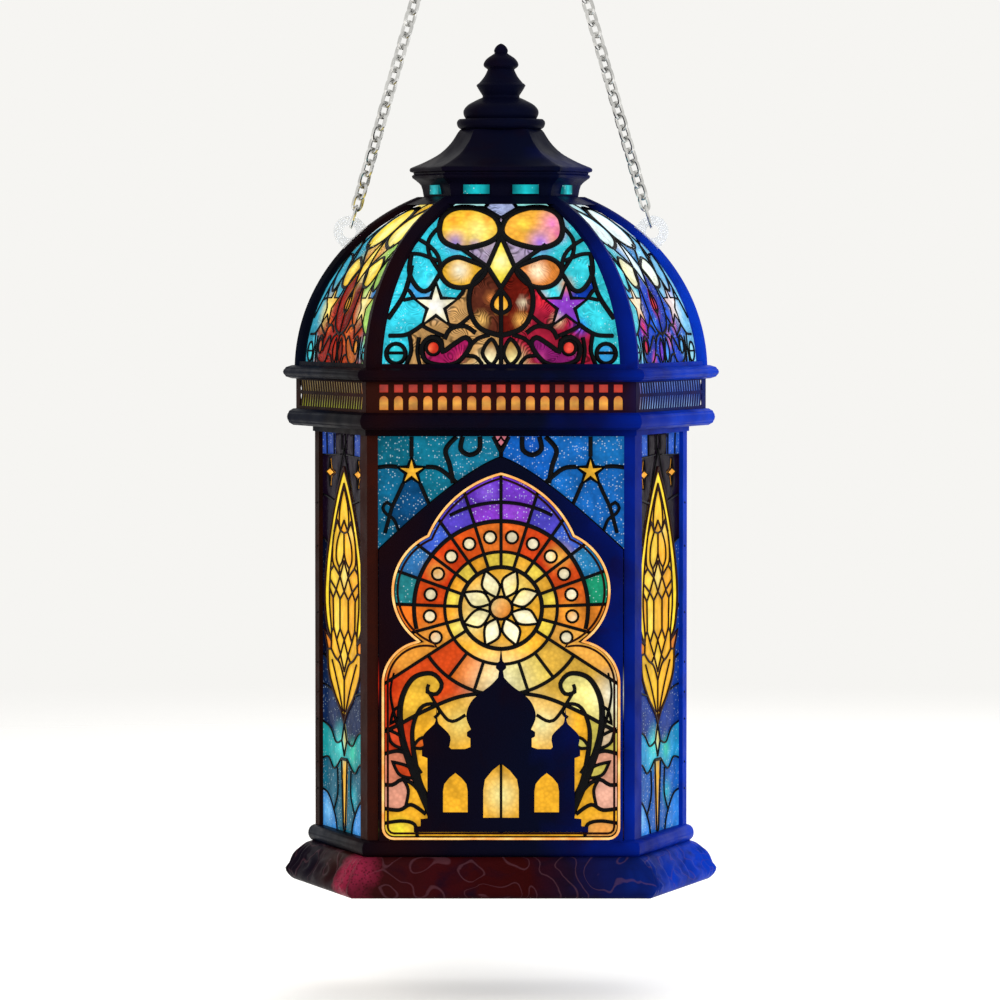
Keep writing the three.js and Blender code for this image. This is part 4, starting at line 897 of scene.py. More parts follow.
class Draft:
    """Points and faces of one piece, in millimetres, before it becomes an object."""

    def __init__(self) -> None:
        """Starts an empty piece."""
        self.points: list[Vector] = []
        self.faces: list[tuple[int, ...]] = []
        self.tints: list[tuple[float, ...]] = []

    def add(self, points: Iterable[Vector]) -> int:
        """Adds points.

        Args:
            points: The points.

        Returns:
            The number of the first of them.
        """
        first = len(self.points)
        self.points.extend(points)
        return first

    def loft(self, rings: Sequence[Sequence[Vector]], loop: bool = False) -> None:
        """Skins closed rings of equal count, capped at both ends unless the rings run in a loop.

        Args:
            rings: The rings.
            loop: Whether the last ring joins the first.
        """
        size = len(rings[0])
        first = self.add(p for ring in rings for p in ring)
        spans = len(rings) if loop else len(rings) - 1
        for i in range(spans):
            a = first + i * size
            b = first + ((i + 1) % len(rings)) * size
            for k in range(size):
                m = (k + 1) % size
                self.faces.append((a + k, a + m, b + m, b + k))
        if not loop:
            self.faces.append(tuple(first + k for k in reversed(range(size))))
            self.faces.append(tuple(first + (len(rings) - 1) * size + k for k in range(size)))

    def tube(self, path: Sequence[Vector], radius: float, sides: int = 8, loop: bool = False) -> None:
        """Runs a round bar along a path.

        Args:
            path: The path's points.
            radius: The bar's radius.
            sides: How many sides it has.
            loop: Whether the path runs back to its start.
        """
        count = len(path)
        rings = []
        side = None
        for i, point in enumerate(path):
            after = path[(i + 1) % count] if loop or i + 1 < count else point
            before = path[i - 1] if loop or i else point
            way = (after - before).normalized()
            if side is None:
                side = way.orthogonal().normalized()
            side = (side - way * side.dot(way)).normalized()
            other = way.cross(side)
            rings.append([point + (side * math.cos(a) + other * math.sin(a)) * radius for a in turns(sides)])
        self.loft(rings, loop)

    def made(self, name: str, material: Material, body: str, slot: str, *stands_for: str,
             turned: bool = True, crease: float = 38.0) -> bpy.types.Object:
        """Makes the object.

        Args:
            name: Its name.
            material: Its material.
            body: The CAD body that it rides on.
            slot: The record's slot of the piece; not used.
            *stands_for: The CAD nodes that it replaces.
            turned: Whether its faces are turned to look outwards.
            crease: Angle in degrees above which an edge is sharp.

        Returns:
            The object.
        """
        mesh = bpy.data.meshes.new(name)
        mesh.from_pydata([p * MM for p in self.points], [], self.faces)
        if turned:
            form = bmesh.new()
            form.from_mesh(mesh)
            bmesh.ops.recalc_face_normals(form, faces=form.faces)
            form.to_mesh(mesh)
            form.free()
        mesh.polygons.foreach_set("use_smooth", [True] * len(mesh.polygons))
        mesh.set_sharp_from_angle(angle=math.radians(crease))
        if self.tints:
            layer = mesh.color_attributes.new("tint", "FLOAT_COLOR", "POINT")
            layer.data.foreach_set("color", [c for tint in self.tints for c in tint])
        mesh.materials.append(material)
        piece = bpy.data.objects.new(name, mesh)
        bpy.context.scene.collection.objects.link(piece)
        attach(piece, body)
        if stands_for:
            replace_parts(piece, *stands_for)
        log.info("%s: %d faces", name, len(mesh.polygons))
        return piece


def hex_ring(draft: Draft, profile: Sequence[tuple[float, float]], plan: Plan = BODY) -> None:
    """Runs a closed profile round the six sides with mitred corners."""
    rings = [[p + Vector((0, 0, z)) for p in plan.grown(out).corners()] for out, z in profile]
    draft.loft([list(ring) for ring in zip(*rings)], loop=True)


def nosing(radius: float, foot: float, top: float, steps: int = 10) -> list[tuple[float, float]]:
    """A half-round edge, as distances out of the plan and levels.

    Args:
        radius: How far it stands out.
        foot: Its lower level.
        top: Its upper level.
        steps: How many steps it has.

    Returns:
        The profile from its foot to its top.
    """
    middle, half = (foot + top) / 2, (top - foot) / 2
    angles = [math.pi * k / steps - math.pi / 2 for k in range(steps + 1)]
    return [(radius * math.cos(a), middle + half * math.sin(a)) for a in angles]


def triangles(loops: Sequence[Line], extra: Sequence[Flat] = ()) -> tuple[list[Flat], list, list]:
    """Triangulates lines so that none crosses a triangle.

    Args:
        loops: Polylines to keep.
        extra: Further points.

    Returns:
        Points, triangles, and the edges that lie on a line.
    """
    coords: list[Vector] = []
    edges = []
    for line in loops:
        first = len(coords)
        coords += [Vector(p) for p in line]
        edges += [(first + i, first + i + 1) for i in range(len(line) - 1)]
    coords += [Vector(p) for p in extra]
    points, made_edges, faces, _, sources, _ = delaunay_2d_cdt(coords, edges, [], 0, 0.02, True)
    kept = [tuple(sorted(edge)) for edge, source in zip(made_edges, sources) if source]
    return [(p.x, p.y) for p in points], [tuple(f) for f in faces], kept


def plate(draft: Draft, outline: Line, holes: Sequence[Line], surface: Surface, back: float,
          front: float) -> None:
    """A sheet with holes, cut to an outline and laid on a surface.

    Args:
        draft: The piece.
        outline: Its edge, with the first point repeated at the end.
        holes: The holes, closed in the same way.
        surface: What it is laid on.
        back: How far its back stands out of the surface.
        front: How far its front stands out of the surface.
    """
    points, faces, _ = triangles([outline, *holes])
    corners = np.array(points)
    middles = corners[np.array(faces)].mean(axis=1)
    solid = within(middles, outline)
    for hole in holes:
        solid &= ~within(middles, hole)
    kept = [face for face, there in zip(faces, solid) if there]
    close_sheet(draft, points, kept, lambda p: surface(*p, front), lambda p: surface(*p, back))


def close_sheet(draft: Draft, points: Sequence[Flat], faces: Sequence[tuple], front: Callable,
                back: Callable, paint: Optional[Callable] = None) -> None:
    """Turns flat triangles into a closed sheet.

    Args:
        draft: The piece.
        points: The flat points.
        faces: The triangles.
        front: Where a point lies on the front.
        back: Where it lies on the back.
        paint: The tint of a point, if the piece is tinted.
    """
    used = sorted({i for face in faces for i in face})
    number = {old: new for new, old in enumerate(used)}
    size = len(used)
    first = draft.add([front(points[i]) for i in used] + [back(points[i]) for i in used])
    if paint:
        tints = [paint(points[i]) for i in used]
        draft.tints += tints + tints
    sides = defaultdict(int)
    for face in faces:
        a, b, c = (number[i] for i in face)
        draft.faces.append((first + a, first + b, first + c))
        draft.faces.append((first + size + c, first + size + b, first + size + a))
        for edge in ((a, b), (b, c), (c, a)):
            sides[edge] += 1
    for a, b in list(sides):
        if (b, a) not in sides:
            draft.faces.append((first + b, first + a, first + size + a, first + size + b))


# Glazing.
class Glazier:
    """Makes the glass and the leads of a window from its cartoon."""

    def __init__(self, cartoon: Cartoon, surface: Surface, seed: int, slim: float = 1.0):
        """Takes a cartoon to a surface.

        Args:
            cartoon: The drawing.
            surface: Where it goes.
            seed: Starts the random differences between the pieces.
            slim: Share of the drawn width and height that the leads get.
        """
        self.slim = slim
        self.cartoon = cartoon
        self.surface = surface
        self.random = random.Random(seed)
        rim = cartoon.outline
        lines = [lead.line if lead.closed else self._reaching(lead.line) for lead in cartoon.leads]
        self.shade = KDTree(sum(len(line) for line in [rim, *lines]))
        for i, point in enumerate(p for line in [rim, *lines] for p in line):
            self.shade.insert((point[0], point[1], 0), i)
        self.shade.balance()
        self.points, faces, edges = triangles([rim, *lines], self._filling(rim, 1.35))
        middles = np.array(self.points)[np.array(faces)].mean(axis=1)
        there = within(middles, rim)
        self.faces = [face for face, kept in zip(faces, there) if kept]
        self.middles = [tuple(middle) for middle in middles[there]]
        self.cells = self._cells(set(edges))

    @staticmethod
    def _reaching(line: Line) -> Line:
        """An open line, a little longer at both ends, so that it meets what it runs to."""
        ends = []
        for (a, b), (c, d) in ((line[0], line[1]), (line[-1], line[-2])):
            share = 0.4 / max(0.01, math.hypot(a - c, b - d))
            ends.append((a + (a - c) * share, b + (b - d) * share))
        return [ends[0], *line, ends[1]]

    def _filling(self, rim: Line, pitch: float) -> Line:
        """Points spread over the glass, clear of its lines."""
        us, vs = [p[0] for p in rim], [p[1] for p in rim]
        result = []
        for row in range(int((max(vs) - min(vs)) / pitch)):
            for column in range(int((max(us) - min(us)) / pitch)):
                u = min(us) + (column + (row % 2) / 2 + 0.25) * pitch
                v = min(vs) + (row + 0.5) * pitch
                if self.shade.find((u, v, 0))[2] > 0.55:
                    result.append((u, v))
        return [point for point, kept in zip(result, within(result, rim)) if kept]

    def _cells(self, edges: set) -> list[list[int]]:
        """Groups the triangles into pieces of glass, which end at the lines."""
        across = defaultdict(list)
        for number, face in enumerate(self.faces):
            for a, b in zip(face, face[1:] + face[:1]):
                across[tuple(sorted((a, b)))].append(number)
        cell_of = [-1] * len(self.faces)
        cells: list[list[int]] = []
        for start in range(len(self.faces)):
            if cell_of[start] >= 0:
                continue
            cell_of[start] = len(cells)
            queue = [start]
            for number in queue:
                face = self.faces[number]
                for a, b in zip(face, face[1:] + face[:1]):
                    key = tuple(sorted((a, b)))
                    if key in edges:
                        continue
                    for other in across[key]:
                        if cell_of[other] < 0:
                            cell_of[other] = len(cells)
                            queue.append(other)
            cells.append(queue)
        return cells

    def _colours(self) -> list[tuple[float, ...]]:
        """A colour for each piece: the tint inside it, or else the nearest one."""
        nearest = KDTree(len(self.middles))
        for i, middle in enumerate(self.middles):
            nearest.insert((*middle, 0), i)
        nearest.balance()
        owner = {number: cell for cell, numbers in enumerate(self.cells) for number in numbers}
        given: dict[int, Tint] = {}
        for tint in self.cartoon.tints:
            given.setdefault(owner[nearest.find((*tint.at, 0))[1]], tint)
        result = []
        for cell, numbers in enumerate(self.cells):
            tint = given.get(cell)
            if tint is None:
                middle = np.mean([self.middles[n] for n in numbers], axis=0)
                tint = min(self.cartoon.tints, key=lambda t: math.dist(t.at, middle))
            result.append((*linear(tint.code, tint.gain * self.random.uniform(0.9, 1.1))[:3], tint.hatch))
        return result

    def _paint(self, colour: tuple[float, ...]) -> Callable[[Flat], tuple[float, ...]]:
        """How one piece's colour changes over it: painted shade darkens it at the leads, it is cloudy, and
        it has the painted hot spots.
        """
        glows = [(g.at, g.radius, linear(g.code, g.gain)) for g in self.cartoon.glows]

        def paint(point: Flat) -> tuple[float, ...]:
            away = self.shade.find((*point, 0))[2]
            cloud = noise.noise(Vector((point[0] / 6, point[1] / 6, colour[0] * 9)))
            # Painted shade: the glass is darker within about 2 mm of a lead.
            light = (0.68 + 0.32 * min(1.0, away / 2.2) ** 0.7) * (1 + 0.22 * cloud)
            values = [c * light for c in colour[:3]]
            for at, radius, code in glows:
                share = max(0.0, 1 - math.dist(at, point) / radius) ** 1.6
                values = [v + (c - v) * share for v, c in zip(values, code)]
            return (*values, colour[3])

        return paint

    def glass(self, thickness: float = PANE_THICKNESS, pillow: float = 0.35) -> Draft:
        """The glass.

        Args:
            thickness: Its thickness.
            pillow: How far the middle of a piece swells.

        Returns:
            The piece.
        """
        draft = Draft()
        swell = lambda p: pillow * min(1.0, self.shade.find((*p, 0))[2] / 2.5) ** 0.6
        for numbers, colour in zip(self.cells, self._colours()):
            faces = [self.faces[n] for n in numbers]
            front = lambda p: self.surface(*p, swell(p) - pillow)
            back = lambda p: self.surface(*p, -thickness)
            close_sheet(draft, self.points, faces, front, back, self._paint(colour))
        return draft

    def lead(self, metal: Metal) -> Draft:
        """The lead lines of one metal.

        Args:
            metal: Which.

        Returns:
            The piece.
        """
        draft = Draft()
        for lead in self.cartoon.leads:
            if lead.metal is metal:
                self._came(draft, lead)
        return draft

    def _came(self, draft: Draft, lead: Lead) -> None:
        """One half-round strip, mitred at its corners."""
        line = lead.line[:-1] if lead.closed else lead.line
        count = len(line)
        rings = []
        for i, (u, v) in enumerate(line):
            after = line[(i + 1) % count] if lead.closed or i + 1 < count else line[i]
            before = line[i - 1] if lead.closed or i else line[i]
            out_way = Vector((after[0] - u, after[1] - v)).normalized()
            in_way = Vector((u - before[0], v - before[1])).normalized()
            way = (out_way + in_way).normalized()
            both = out_way.length > 0 and in_way.length > 0
            mitre = min(1.7, 1 / max(0.3, way.dot(in_way))) if both else 1.0
            side = Vector((-way.y, way.x))
            share = 1 + (lead.taper - 1) * i / max(1, count - 1)
            half = lead.width / 2 * share * self.slim
            ring = []
            for s, h in ((-1, -0.5), (-1, 0.0), (-0.75, 0.62), (0, 1.0), (0.75, 0.62), (1, 0.0), (1, -0.5)):
                at = Vector((u, v)) + side * (half * s * mitre)
                tall = h * lead.height * (0.4 + 0.6 * share) if h > 0 else h
                ring.append(self.surface(at.x, at.y, tall * self.slim**2))
            rings.append(ring)
        draft.loft(rings, loop=lead.closed)


# The dome's cartoon, in millimetres from its centre line and over its foot.
DOME_LEADS = (
    (straight, 1.5, (-20, 46.9), (-5, 46.9)),
    (straight, 1.2, (0, 43.9), (-5, 46.9), (-2.5, 50.1)),
    (loop, 1.8, (-0.3, 40.2), (-2.1, 44.3), (-7.7, 46.8), (-13.6, 46.9), (-17.6, 44.6), (-18.7, 40.2),
     (-17.1, 36.8), (-12, 35), (-6.2, 35.9), (-2.1, 37.6)),
    (straight, 1.6, (0, 38.6), (-4.1, 29.5), (0, 23.3)),
    (straight, 1.5, (-13.6, 36.0), (-4.1, 29.5)),
    (loop, 1.6, (-18.5, 28), (-17, 30.8), (-13.5, 32.3), (-9.7, 31.4), (-4.6, 28.9), (-7.6, 24.8),
     (-12, 23.4), (-16.1, 24.5)),
    (curve, 1.3, (-26.5, 38.5), (-21.4, 35.4), (-18.9, 32.2), (-18.3, 28)),
    (curve, 1.3, (-18.6, 41.5), (-21.8, 37.6), (-21.8, 33.4), (-19.6, 29.6), (-18.4, 28)),
    (curve, 1.3, (-29.5, 33.2), (-24.5, 33.2), (-19.2, 31.2)),
    (curve, 1.5, (-27.2, 33), (-27.6, 27.5), (-24.8, 23), (-21.8, 22.8), (-18.7, 27.2)),
    (curve, 1.5, (-27.0, 30), (-27.9, 25.5), (-29.7, 20.6), (-34, 14.4)),
    (star, 1.1, (-19.6, 18.1), 6.9, 2.8),
    (straight, 1.2, (-19.6, 25), (-21.6, 23)),
    (curve, 1.2, (-26.1, 20.2), (-27.6, 22.4), (-28.6, 23)),
    (curve, 1.3, (-13.1, 20.2), (-11.3, 22.5), (-11.4, 23.5)),
    (curve, 1.4, (-23.7, 12.6), (-26, 11), (-29, 9.6), (-33.6, 9.4)),
    (curve, 1.3, (-15.6, 12.6), (-13, 12.3), (-9.4, 15)),
    (straight, 1.2, (-26.4, 20.4), (-29.3, 19.8)),
    (curve, 1.7, (-4.1, 29.5), (-7.8, 26), (-9.6, 21), (-9, 15.6), (-6, 11.4), (0, 9.4)),
    (curve, 1.4, (0, 22.9), (-2.5, 19.6), (-2.4, 17.2), (0, 15.8)),
    (straight, 1.5, (0, 23.4), (0, 0.9)),
    (loop, 1.6, (-17.5, 4.9), (-18.1, 7.9), (-21, 9.0), (-23.6, 6.6), (-22.9, 2.4), (-18.6, 0.9),
     (-13.2, 1.6), (-9.2, 6.5), (-10.6, 8.9), (-14.3, 6.9)),
    (arc, 1.0, (-20.4, 5.9), 2.1, -160, 200),
    (curve, 1.5, (-7.6, 10.2), (-11, 12.2), (-15.2, 11.4), (-17, 8.4)),
    (curve, 1.3, (-24, 12.5), (-21.2, 11), (-17.4, 9.4)),
    (loop, 1.3, (-5.6, 4.4), (-2.9, 8.4), (-0.8, 4.4), (-2.9, 1.0)),
    (curve, 1.4, (-9.3, 6.4), (-7.0, 8.6), (-3.4, 9.7)),
    (curve, 1.3, (-10.4, 3.6), (-7.6, 3.2), (-5.6, 1)),
    (arc, 1.3, (-31.6, 4.2), 2.9, -90, 270),
    (straight, 1.0, (-34.4, 4.4), (-28.8, 4.4)),
    (curve, 1.3, (-27.6, 9.9), (-27, 5), (-28.5, 0.9)),
    (curve, 1.2, (-24.6, 9), (-25.2, 5), (-24.4, 0.9)),
)
DOME_TINTS = (
    ((-12, 48.6), "strip", 1.05),
    ((-1.5, 47), "fan", 1, 0.8),
    ((-10, 41), "oval", 1.05),
    ((-0.8, 42.4), "triangle", 1, 0.8),
    ((-5.6, 33.5), "triangle", 1, 0.8),
    ((-2, 30), "kite", 1.05),
    ((-12, 28), "lens", 1, 0.25),
    *((at, "sky", 1, 0.35) for at in ((-24, 39.5), (-23.5, 35), (-20.2, 35), (-20.3, 32), (-24, 28),
                                      (-18.5, 45), (-15, 34), (-27.5, 31.8))),
    ((-29.6, 24), "rib"),
    ((-27.2, 22), "corner"),
    ((-23.5, 22), "corner"),
    ((-15.5, 22), "dusk", 1, 0.6),
    ((-19.6, 18.1), "star", 1.1),
    ((-12.4, 16), "dusk", 1, 0.9),
    ((-28.5, 14), "sky", 1, 0.6),
    ((-5.4, 20), "heart", 1, 0.8),
    ((-4, 12.6), "heart_foot", 1, 0.6),
    ((-1.1, 18.5), "orb", 1.1),
    ((-12.5, 3.5), "scroll", 1, 0.7),
    ((-20.4, 5.9), "curl"),
    ((-14, 9.4), "swirl", 1, 0.9),
    ((-19.6, 11.2), "corner", 1, 0.9),
    ((-3, 4.6), "leaf"),
    ((-1.0, 1.3), "foot"),
    ((-6.6, 6), "swirl"),
    ((-8, 1.8), "foot"),
    ((-25.8, 4), "corner"),
    ((-31.6, 3), "drop"),
    ((-31.6, 5.6), "drop"),
    ((-31, 8.4), "corner"),
    ((-23.6, 2), "corner", 1, 0.7),
)
# Each colour's left and right half, in the wide panes, and in the side panes under the painted warm and cold
# light.
DOME_COLOURS = {
    "strip": ("#b8f6f4 #9af0ea", "#f8e27c #fff2b0", "#bdf4f2 #e4fbff"),
    "fan": ("#a8b4e0 #f2cf9a", "#f6c23c #f8d860", "#c8f4f8 #e8fcff"),
    "oval": ("#fbc636 #f8b23e", "#f8d428 #fbe048", "#c4f6f6 #e6fdff"),
    "triangle": ("#b7a4c4 #d0704e", "#e8a24a #c8b8d8", "#3a9ce8 #4a7ce0"),
    "kite": ("#fae03e", "#f6cf45", "#dff8ff"),
    "lens": ("#f8bc34 #ee8c3a", "#f4c22c #f5cd30", "#f6f4c0 #f4fbe8"),
    "sky": ("#38d4ea #38d0de", "#3fa9c4 #a8d86a", "#5cd8ec #7ec8f4"),
    "rib": ("#e83c18 #e04a80", "#2a6ea8 #b8d24a", "#8ae4f2 #d8ecff"),
    "star": ("#fff6cc #8a3cc0", "#f8b83c #fbd65c", "#ffe0b0 #ffd8e0"),
    "dusk": ("#c4965c #b0203c", "#a8281a #b8421e", "#1a4ccf #2a5cd8"),
    "heart": ("#5c2a1c #6c180e", "#9c1e14 #7e1a12", "#1c46c4 #2040b8"),
    "heart_foot": ("#d87a3c #d86a30", "#c23a1c #a82c18", "#2a6ae0 #2458d8"),
    "orb": ("#f8a81c", "#f0b040", "#e03a3a"),
    "scroll": ("#a81c5c #8e1e6e", "#8c2016 #c8682a", "#2038b0 #1f48cc"),
    "curl": ("#e83420 #e02a20", "#e05a26 #e8942e", "#d8324c #58b8f0"),
    "swirl": ("#5c2c20 #6c1a3c", "#6e1612 #8a2a14", "#1a3cb0 #1b46c8"),
    "leaf": ("#a86c28 #b0782c", "#a83018 #7c2014", "#7a3ad0 #3a70e8"),
    "foot": ("#ffdc70 #ffd458", "#d8702e #c85a24", "#58b4f0 #66c2f4"),
    "corner": ("#3a9cd8 #1444c0", "#3a86c4 #2f7fc4", "#4fb4ee #3a86ec"),
    "drop": ("#34d0dc #36a6ea", "#4fd6de #45cfdc", "#8ae8f4 #a8ecff"),
}
DOME_GLOWS = {
    Light.EVEN: (
        (-12.5, 28.5, 4.5, "#ffffe8"), (11, 28.2, 4.5, "#fff4d0"), (-7, 40, 7, "#fff08a"),
        (-3.5, 2, 6, "#fffac8"), (4, 2, 6, "#fff4a8"), (15.5, 42.5, 6, "#e878c8"),
        (12, 36.6, 6, "#9a6ae8"), (17.6, 39, 4, "#c84a9c"), (0, 31, 5, "#fffcb8"),
        (-14, 36.8, 5, "#7c70d8"), (-8, 36, 3, "#8a78c8"), (-14.5, 43, 3, "#f08a2c"),
        (-10, 44.6, 2.6, "#f4982c"), (7, 42, 3, "#fce04c"), (-4.4, 43, 2.6, "#f0922c"),
        (-6, 14, 3.4, "#ffca70"), (6, 14, 3.4, "#ffc060"), (-3, 20.5, 2.4, "#f09048"),
        (6.4, 19, 2.2, "#fff0c8"), (19.6, 24, 4, "#f08a30"), (17, 14, 3, "#fbe6b0"),
        (-19.6, 18, 5, "#ffffff"), (12, 20, 4, "#e02838"), (-9, 12.4, 3, "#f0b060"),
        (24, 12, 4, "#2a4ce0"), (-22, 5.8, 2.6, "#ff7a50"), (21, 6, 2.6, "#ff6a58"),
        (-12, 3, 2.6, "#f04a70"), (12, 3, 2.6, "#d84a9c"), (0, 18, 3, "#ffd060"),
        (-20, 24.4, 2.6, "#bff4f4"),
    ),
    Light.COLD: (
        (-9, 28, 6, "#ffffe8"), (-18, 19, 7, "#fff0d8"), (22, 18, 9, "#fff8f4"),
        (-10, 41, 10, "#ffffff"), (8, 8, 4, "#ff90b8"), (10, 41, 9, "#ffffff"),
        (-19.6, 12, 6, "#e82848"), (0, 18, 5, "#ff4a4a"), (-2, 35, 7, "#f4ffff"), (14, 28, 6, "#f8fff0"),
        (-26, 4, 6, "#9aecff"), (24, 6, 6, "#7cc8ff"), (3, 3, 4, "#58b8ff"), (-12, 2, 4, "#f05a90"),
        (16, 12, 4, "#ff8ac0"), (-6, 13, 4, "#3a8cff"),
    ),
    Light.WARM: (
        (-22, 17, 9, "#fff08a"), (18, 18, 8, "#fff4b0"), (-8, 40, 9, "#fffaa0"), (9, 40, 9, "#fffab0"),
        (0, 20, 5, "#f8b848"), (8, 9, 4, "#f07a30"), (-12, 29, 6, "#fff27a"), (12, 29, 6, "#fff48a"),
        (-4, 8, 5, "#b8200e"), (4, 27, 5, "#fff0a0"), (-27, 5, 6, "#6ae0f0"), (26, 5, 6, "#58d0f0"),
        (-14, 12, 4, "#e8641c"), (12, 12, 4, "#e87a24"), (0, 34, 5, "#ffe86a"),
    ),
}


def dome_cartoon(side: Side) -> Cartoon:
    """Draws a dome pane: ovals, a kite, a star, a round heart and scrolls.

    Args:
        side: Which face.

    Returns:
        The cartoon.
    """
    foot, crown = 0.9, 50.2
    levels = [foot + (crown - foot) * k / 30 for k in range(31)]
    right = [(dome_half(v) - 0.6, v) for v in levels]
    outline = right + mirrored(right)[::-1]
    work = Cartoon([*outline, outline[0]])
    work.draw(DOME_LEADS)
    work.paint(DOME_TINTS, {name: codes[side.light.value] for name, codes in DOME_COLOURS.items()})
    work.glow(DOME_GLOWS[side.light], 1.15)
    return work


# The front window's cartoon, in millimetres from its centre line and over the deck.
@dataclass(frozen=True)
class Arch:
    """The outline of an arched window: straight sides, a shoulder, a round lobe and a pointed head.

    Attributes:
        half: Half its width.
        sill: Level of its foot.
        corner: Radius of its lower corners.
        shoulder: Radius and level of the shoulder.
        lobe: Radius, distance from the centre line and level of the lobe.
        head: Radius, distance beyond the centre line and level of the head.
    """

    half: float
    sill: float
    corner: float = 3.0
    shoulder: tuple[float, float] = (12.3, 46.9)
    lobe: tuple[float, float, float] = (17.6, 13.9, 74.1)
    head: tuple[float, float, float] = (31.2, -7.6, 78.0)

    def grown(self, distance: float) -> "Arch":
        """The outline moved out by a distance, or in if it is negative."""
        radius, level = self.shoulder
        lobe, head = self.lobe, self.head
        return Arch(
            self.half + distance, self.sill - distance, self.corner + distance, (radius + distance, level),
            (lobe[0] + distance, *lobe[1:]), (head[0] + distance, *head[1:]),
        )

    def outline(self) -> Line:
        """The closed outline.

        Returns:
            Its points, from the left end of the sill.
        """
        shoulder = ((self.half - self.shoulder[0], self.shoulder[1]), self.shoulder[0])
        lobe = ((self.lobe[1], self.lobe[2]), self.lobe[0])
        head = ((self.head[1], self.head[2]), self.head[0])
        waist, spring = self._meet(shoulder, lobe), self._meet(lobe, head)
        apex = (0.0, head[0][1] + math.sqrt(head[1] ** 2 - head[0][0] ** 2))
        toe = (self.half - self.corner, self.sill + self.corner)
        right = [(0.0, self.sill), *arc(toe, self.corner, -90, 0)]
        for (centre, radius), start, end in (
            (shoulder, (self.half, self.shoulder[1]), waist),
            (lobe, waist, spring),
            (head, spring, apex),
        ):
            angles = [math.degrees(math.atan2(p[1] - centre[1], p[0] - centre[0])) for p in (start, end)]
            right += arc(centre, radius, *angles)[0 if centre == shoulder[0] else 1 :]
        left = mirrored(right)[::-1][1:]
        return right + left

    @staticmethod
    def _meet(a: tuple, b: tuple) -> Flat:
        """The outer of the two points where two circles meet."""
        (ax, ay), ra = a
        (bx, by), rb = b
        gap = math.hypot(bx - ax, by - ay)
        along = (ra**2 - rb**2 + gap**2) / (2 * gap)
        off = math.sqrt(max(0.0, ra**2 - along**2))
        way = ((bx - ax) / gap, (by - ay) / gap)
        base = (ax + way[0] * along, ay + way[1] * along)
        options = [(base[0] - way[1] * off * k, base[1] + way[0] * off * k) for k in (1, -1)]
        return max(options)


FRONT_ARCH = Arch(half=34.4, sill=1.6)
DOOR_ARCH = Arch(half=33.0, sill=3.0)
BAND = ((0.0, 113.2), (12.0, 108.9), (36.0, 85.9))
PANE_TOP = 119.3
SUN = (0.0, 69.0)


def band_edge(half: float) -> Line:
    """The upper edge of the dark band over an arch, from left to right.

    Args:
        half: Where it ends on each side.

    Returns:
        The line.
    """
    right: Line = []
    for k in range(41):
        t = k / 40
        u, v = (sum(w * p[i] for w, p in zip(((1 - t) ** 2, 2 * t * (1 - t), t * t), BAND)) for i in (0, 1))
        right.append((u, v))
    right = [p for p in right if p[0] < half] + [(half, np.interp(half, *zip(*right)))]
    return mirrored(right)[::-1][:-1] + right


RAY_START = -33.0
RAY_SPAN = 246.0
RAYS = 14
ROSE_HEART = 3.3
ROSE_RADIUS = 12.0
ROSE_RIM = 16.5
JEWEL_RING = 21
RAY_RING = 25.5
HEAD_RING = 31.0
NEAR_RAYS = ("#f4a03a #f6b04a", "#ee7420 #ee8a2c", "#e84e18 #ea6a22", "#e23c14 #e4501c", "#e44416 #e03a18",
             "#ec5a1c #ea4c1c", "#f47c2a #f06a26")
FAR_RAYS = ("#4a9a84 #38a05c", "#2a8c92 #1f9a70", "#2f6ea8 #2a84bc", "#3c5cc4 #3f66d4", "#5844c4 #5a50d8",
            "#8a3ccc #9a48dc")


def in_arch(*points: Flat) -> Line:
    """The part of a smooth curve from its start that lies in the front arch."""
    return clipped(curve(*points), FRONT_ARCH.outline())


# The blue glass over the band: two stars, scrolls and their leads.
FIELD_LEADS = (
    (star, 1.0, (-26.2, 109.0), 4.4, 1.75),
    (straight, 1.3, (-26.2, 113.4), (-26.2, PANE_TOP)),
    (curve, 1.3, (-30.4, 110.4), (-33, 110.6), (-36.4, 110.2)),
    (curve, 1.4, (-22, 110.4), (-18, 109.8), (-12.6, 105.4)),
    (straight, 1.2, (-23.7, 105.5), (-20.6, 98.4)),
    (straight, 1.2, (-28.7, 105.5), (-32, 98.4), (-34, 91)),
    (curve, 1.5, (-14.0, 105.6), (-15.0, 110.8), (-16.2, 115.4), (-13, PANE_TOP)),
    (curve, 1.5, (-11.2, PANE_TOP), (-11.8, 115.6), (-9.2, 113.9), (-6.4, 115.4), (-6.2, PANE_TOP)),
    (straight, 1.3, (0, 113.2), (0, 114.8), (-2.3, PANE_TOP)),
    (star, 0.6, (0, 117.6), 1.5, 0.9, 4, {"both": False}),
    (curve, 1.0, (-30.0, 91.6), (-31.4, 95), (-33.6, 96.6), (-34.6, 98.4), (-33.4, 100), (-31.6, 98.6)),
)
FIELD_TINTS = (
    ((-33, 116), "#0f6a82 #1b72bc"),
    ((-30, 116), "#0f6a82 #1b72bc"),
    ((-20, 114), "#137792 #1a6cc0"),
    ((-33, 106), "#12688e #1c6ec4"),
    ((-24, 102), "#0d4a7a #1a66b8"),
    ((-17.5, 107.6), "#1580a0 #2078cc"),
    ((-9, 117), "#1a7a9a #1554b0"),
    ((-4, 116), "#177898 #1560bc"),
    ((-12, 111), "#1783a2 #1d62c4"),
    ((0, 117.6), "#f08a9a"),
    ((-26.2, 109.0), "#f6b836", 1.15),
)
